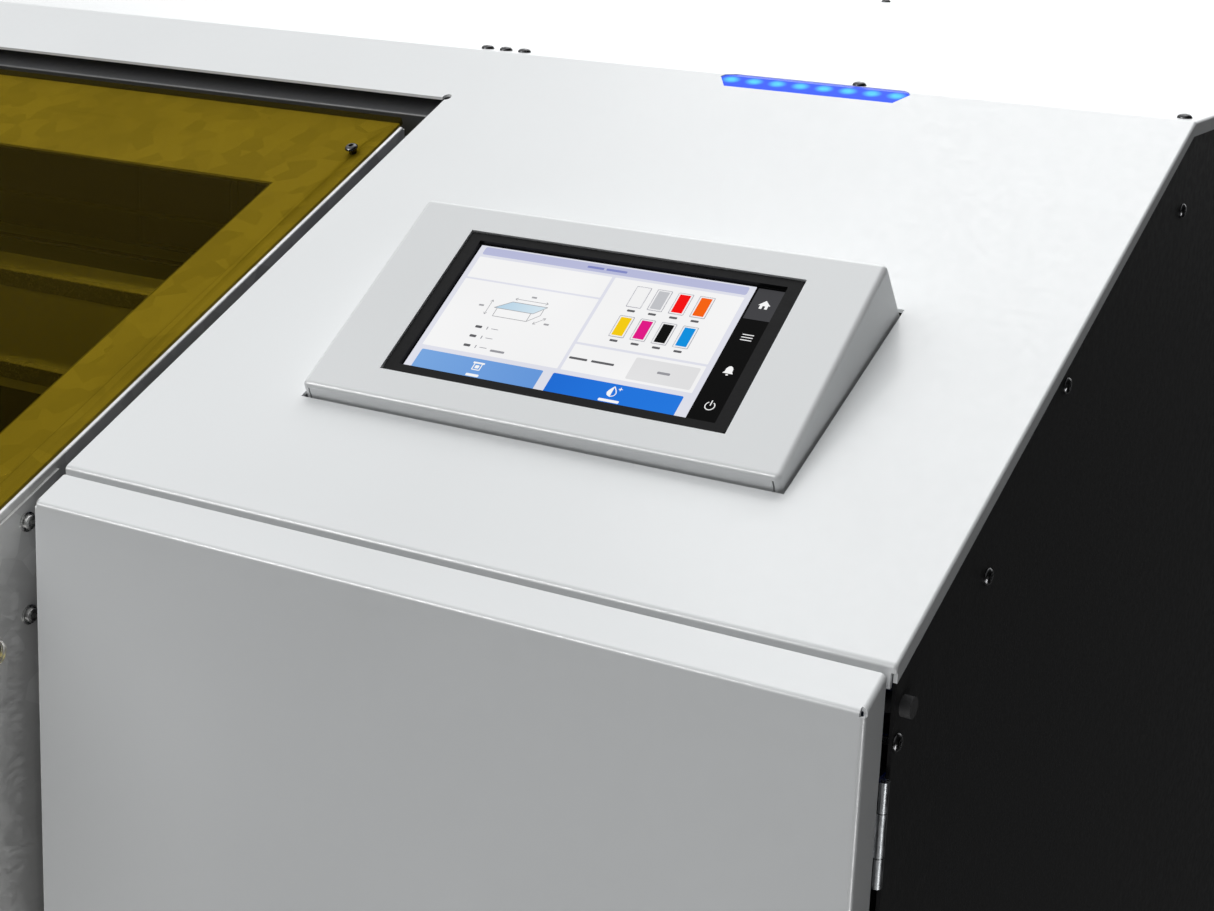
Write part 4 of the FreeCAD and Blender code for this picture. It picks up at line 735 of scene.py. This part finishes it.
def add_fan_guards():
    """Wire guards over the two fan openings in the back."""
    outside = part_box("rear_panel")[1].y
    for body, name in (("right_fan_rotor", "right_fan_guard"), ("left_fan_rotor", "left_fan_guard")):
        low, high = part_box(body)
        centre = (low + high) / 2
        centre.y = outside + 1.9 * MM
        mesh = bmesh.new()
        for radius in (15, 25, 35, 45, 55):
            tube_path(mesh, circle(centre, radius * MM), 0.8 * MM, closed=True)
        spokes = centre - Vector((0, 1.1 * MM, 0))
        for turn in range(4):
            angle = math.radians(45 + 90 * turn)
            out = Vector((math.cos(angle), 0, math.sin(angle)))
            tube_path(mesh, [spokes + out * 14 * MM, spokes + out * 66 * MM], 0.8 * MM)
            tube_path(mesh, circle(spokes + out * 69 * MM, 3 * MM, 16), 0.8 * MM, closed=True)
        finish_piece(name, mesh, "zinc_steel", "machine")


def bevelled_box(mesh, low, high, radius):
    """A box with rounded edges between two corners."""
    made = bmesh.ops.create_cube(mesh, size=1.0)["verts"]
    size, middle = high - low, (low + high) / 2
    for vert in made:
        vert.co = Vector([vert.co[i] * size[i] + middle[i] for i in range(3)])
    edges = {edge for vert in made for edge in vert.link_edges}
    bmesh.ops.bevel(mesh, geom=list(edges), offset=radius, segments=2, affect="EDGES", profile=0.5)


def loft(mesh, sections):
    """Skin a row of equal closed outlines and cap both ends."""
    rows = [[mesh.verts.new(point) for point in section] for section in sections]
    for before, after in zip(rows, rows[1:]):
        for i in range(len(before)):
            mesh.faces.new((before[i], before[i - 1], after[i - 1], after[i]))
    mesh.faces.new(rows[0])
    mesh.faces.new(rows[-1])


# A filter's frame: ranges of X and Z from the fan's axis for the left, right, lower and upper bar.
FILTER_BARS = (((-59, -57), (-59, 59)), ((57, 59), (-59, 59)),
               ((-59, 59), (-59, -57)), ((-59, 59), (57, 59)))


def add_fan_filters():
    """Pleated ink-mist filters on the inner faces of the two fan housings."""
    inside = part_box("fan_housings")[0].y - 0.1 * MM
    for body, name in (("right_fan_rotor", "right_fan_filter"), ("left_fan_rotor", "left_fan_filter")):
        low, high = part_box(body)
        centre = (low + high) / 2
        centre.y = inside
        mesh = bmesh.new()
        pleats = []
        for fold in range(49):
            across = (fold / 24 - 1) * 55
            front = -1.5 if fold % 2 else -6.5
            pleats.append([centre + Vector((across, front + depth, up)) * MM
                           for depth, up in ((0, -55), (0, 55), (0.8, 55), (0.8, -55))])
        loft(mesh, pleats)
        for across, up in FILTER_BARS:
            bevelled_box(mesh, centre + Vector((across[0], -8, up[0])) * MM,
                         centre + Vector((across[1], 0, up[1])) * MM, 0.4 * MM)
        finish_piece(name, mesh, "black_plastic", "machine")


# The lid frame's opening: its borders behind and in front, and half its width, in millimetres.
OPENING_BACK_BORDER = 69
OPENING_FRONT_BORDER = 55
OPENING_HALF_WIDTH = 351


def add_window_trim():
    """Thin strip round the opening under the amber sheet."""
    along = Vector((0, math.cos(SLOPE), math.sin(SLOPE)))
    out = Vector((0, -math.sin(SLOPE), math.cos(SLOPE)))
    amber = [vertex.co for vertex in frame["nodes"]["amber_window"].data.vertices]
    under = min(point.dot(out) for point in amber)
    back = max(point.dot(along) for point in amber) - OPENING_BACK_BORDER * MM
    front = min(point.dot(along) for point in amber) + OPENING_FRONT_BORDER * MM
    half = OPENING_HALF_WIDTH * MM
    mesh = bmesh.new()
    rows = []
    for inset, drop in ((0.2, 0.35), (0.2, 1.9), (1.3, 1.9), (1.3, 0.35)):
        reach = half - inset * MM
        corners = ((-reach, front + inset * MM), (reach, front + inset * MM),
                   (reach, back - inset * MM), (-reach, back - inset * MM))
        rows.append([mesh.verts.new(Vector((x, 0, 0)) + along * up + out * (under - drop * MM))
                     for x, up in corners])
    for first, second in zip(rows, rows[1:] + rows[:1]):
        for index in range(4):
            after = (index + 1) % 4
            mesh.faces.new((first[index], first[after], second[after], second[index]))
    finish_piece("window_trim", mesh, "trim_steel", "lid")


def add_ink_labels():
    """A coloured band on the front of each cartridge."""
    cartridges = sorted(islands("ink_cartridges"), key=lambda points: (
        -round(max(point.z for point in points), 2), min(point.x for point in points)))
    for index, points in enumerate(cartridges):
        low = Vector([min(point[i] for point in points) for i in range(3)])
        high = Vector([max(point[i] for point in points) for i in range(3)])
        face = low.y + 6 * MM
        mesh = bmesh.new()
        bevelled_box(mesh, Vector((low.x + 6 * MM, face - 0.7 * MM, low.z + 14 * MM)),
                     Vector((high.x - 6 * MM, face + 0.1 * MM, low.z + 52 * MM)), 0.3 * MM)
        finish_piece(f"ink_label_{index + 1}", mesh, f"ink_{index + 1}", "machine")


add_fan_guards()
add_fan_filters()
add_window_trim()
add_ink_labels()


# ---------------------------------------------------------------- stage

def add_floor():
    """A plain pale floor that catches shadows and shows in no reflection."""
    paint = Paint("floor", (0.82, 0.82, 0.825), 0.6)
    paint.colour(paint.blend(paint.noise(2, 3), (0.80, 0.80, 0.805), (0.84, 0.84, 0.845)))
    paint.sockets["Emission Color"].default_value = (1.0, 1.0, 1.0, 1.0)
    paint.sockets["Emission Strength"].default_value = 0.35
    mesh = bmesh.new()
    bmesh.ops.create_grid(mesh, x_segments=1, y_segments=1, size=30)
    data = bpy.data.meshes.new("floor")
    mesh.to_mesh(data)
    mesh.free()
    data.materials.append(paint.material)
    floor = bpy.data.objects.new("floor", data)
    floor.location.z = -0.0005
    floor.visible_diffuse = False
    floor.visible_glossy = False
    floor.visible_shadow = False
    bpy.context.scene.collection.objects.link(floor)


def falloff(nodes, links, value, start, end, low, high):
    """Smoothly map a socket from start..end to low..high."""
    made = nodes.new("ShaderNodeMapRange")
    made.interpolation_type = "SMOOTHSTEP"
    for key, number in zip(("From Min", "From Max", "To Min", "To Max"), (start, end, low, high)):
        made.inputs[key].default_value = number
    links.new(value, made.inputs["Value"])
    return made.outputs["Result"]


def add_world():
    """A studio with light overhead and a bright back wall, dim low down, dark flags on the right."""
    world = bpy.data.worlds.new("studio")
    bpy.context.scene.world = world
    world.use_nodes = True
    nodes, links = world.node_tree.nodes, world.node_tree.links
    direction = nodes.new("ShaderNodeSeparateXYZ")
    links.new(nodes.new("ShaderNodeTexCoord").outputs["Generated"], direction.inputs["Vector"])
    overhead = falloff(nodes, links, direction.outputs["Z"], 0.0, 0.7, 0.13, 1.27)
    wall = falloff(nodes, links, direction.outputs["Y"], 0.5, 0.85, 0.0, 1.8)
    flag = falloff(nodes, links, direction.outputs["X"], 0.05, 0.5, 1.0, 0.04)
    above = falloff(nodes, links, direction.outputs["Z"], -0.1, 0.04, 0.0, 1.0)

    def combine(operation, first, second):
        made = nodes.new("ShaderNodeMath")
        made.operation = operation
        links.new(first, made.inputs[0])
        links.new(second, made.inputs[1])
        return made.outputs["Value"]

    light = combine("MULTIPLY", combine("MAXIMUM", overhead, combine("MULTIPLY", wall, above)), flag)
    backdrop = nodes.new("ShaderNodeMix")
    links.new(nodes.new("ShaderNodeLightPath").outputs["Is Camera Ray"], backdrop.inputs["Factor"])
    links.new(light, backdrop.inputs[2])
    backdrop.inputs[3].default_value = 1.0
    background = nodes["Background"]
    background.inputs["Color"].default_value = (0.985, 0.995, 1.0, 1.0)
    links.new(backdrop.outputs[0], background.inputs["Strength"])


def add_light(name, kind, location, target, energy, only_gloss=False, **settings):
    """A lamp aimed at target; with only_gloss it shows only in reflections."""
    lamp = bpy.data.lights.new(name, kind)
    lamp.energy = energy
    for key, value in settings.items():
        setattr(lamp, key, value)
    light = bpy.data.objects.new(name, lamp)
    light.visible_diffuse = not only_gloss
    light.location = location
    direction = Vector(target) - Vector(location)
    light.rotation_euler = direction.to_track_quat("-Z", "Y").to_euler()
    bpy.context.scene.collection.objects.link(light)


def add_lights():
    """A soft sun for the shadows, a low panel for the door, two strips for the bends."""
    add_light("key", "SUN", (-0.4, 1.2, 2.2), (0, 0, 0), 0.9, angle=math.radians(40))
    add_light("low_front", "AREA", (1.15, -1.25, -0.35), (0.75, -0.4, 0.3), 4,
              shape="RECTANGLE", size=0.7, size_y=0.5)
    add_light("front_strip", "AREA", (-0.75, -2.3, 1.5), (0.4, -0.4, 0.65), 60, only_gloss=True,
              shape="RECTANGLE", size=1.2, size_y=0.9)
    add_light("side_strip", "AREA", (1.75, -0.85, -0.4), (0.8, -0.4, 0.4), 22, only_gloss=True,
              shape="RECTANGLE", size=0.4, size_y=1.2)


def add_camera():
    """The photograph's viewpoint: in front and to the right, a little above the cover."""
    yaw, pitch, roll = math.radians(29.4), math.radians(13.2), math.radians(2.4)
    forward = Vector((-math.sin(yaw) * math.cos(pitch), math.cos(yaw) * math.cos(pitch), -math.sin(pitch)))
    level = Vector((math.cos(yaw), math.sin(yaw), 0))
    right = level * math.cos(roll) + level.cross(forward) * math.sin(roll)
    up = right.cross(forward)
    data = bpy.data.cameras.new("camera")
    data.lens = 62.42
    data.sensor_width = 36
    data.shift_y = -0.1
    data.clip_start = 0.02
    camera = bpy.data.objects.new("camera", data)
    camera.matrix_world = Matrix.Translation((1.044, -1.0319, 0.9039)) @ Matrix(
        (right, up, -forward)).transposed().to_4x4()
    bpy.context.scene.collection.objects.link(camera)
    bpy.context.scene.camera = camera


add_floor()
add_world()
add_lights()
add_camera()
bpy.context.scene.view_settings.view_transform = "Standard"
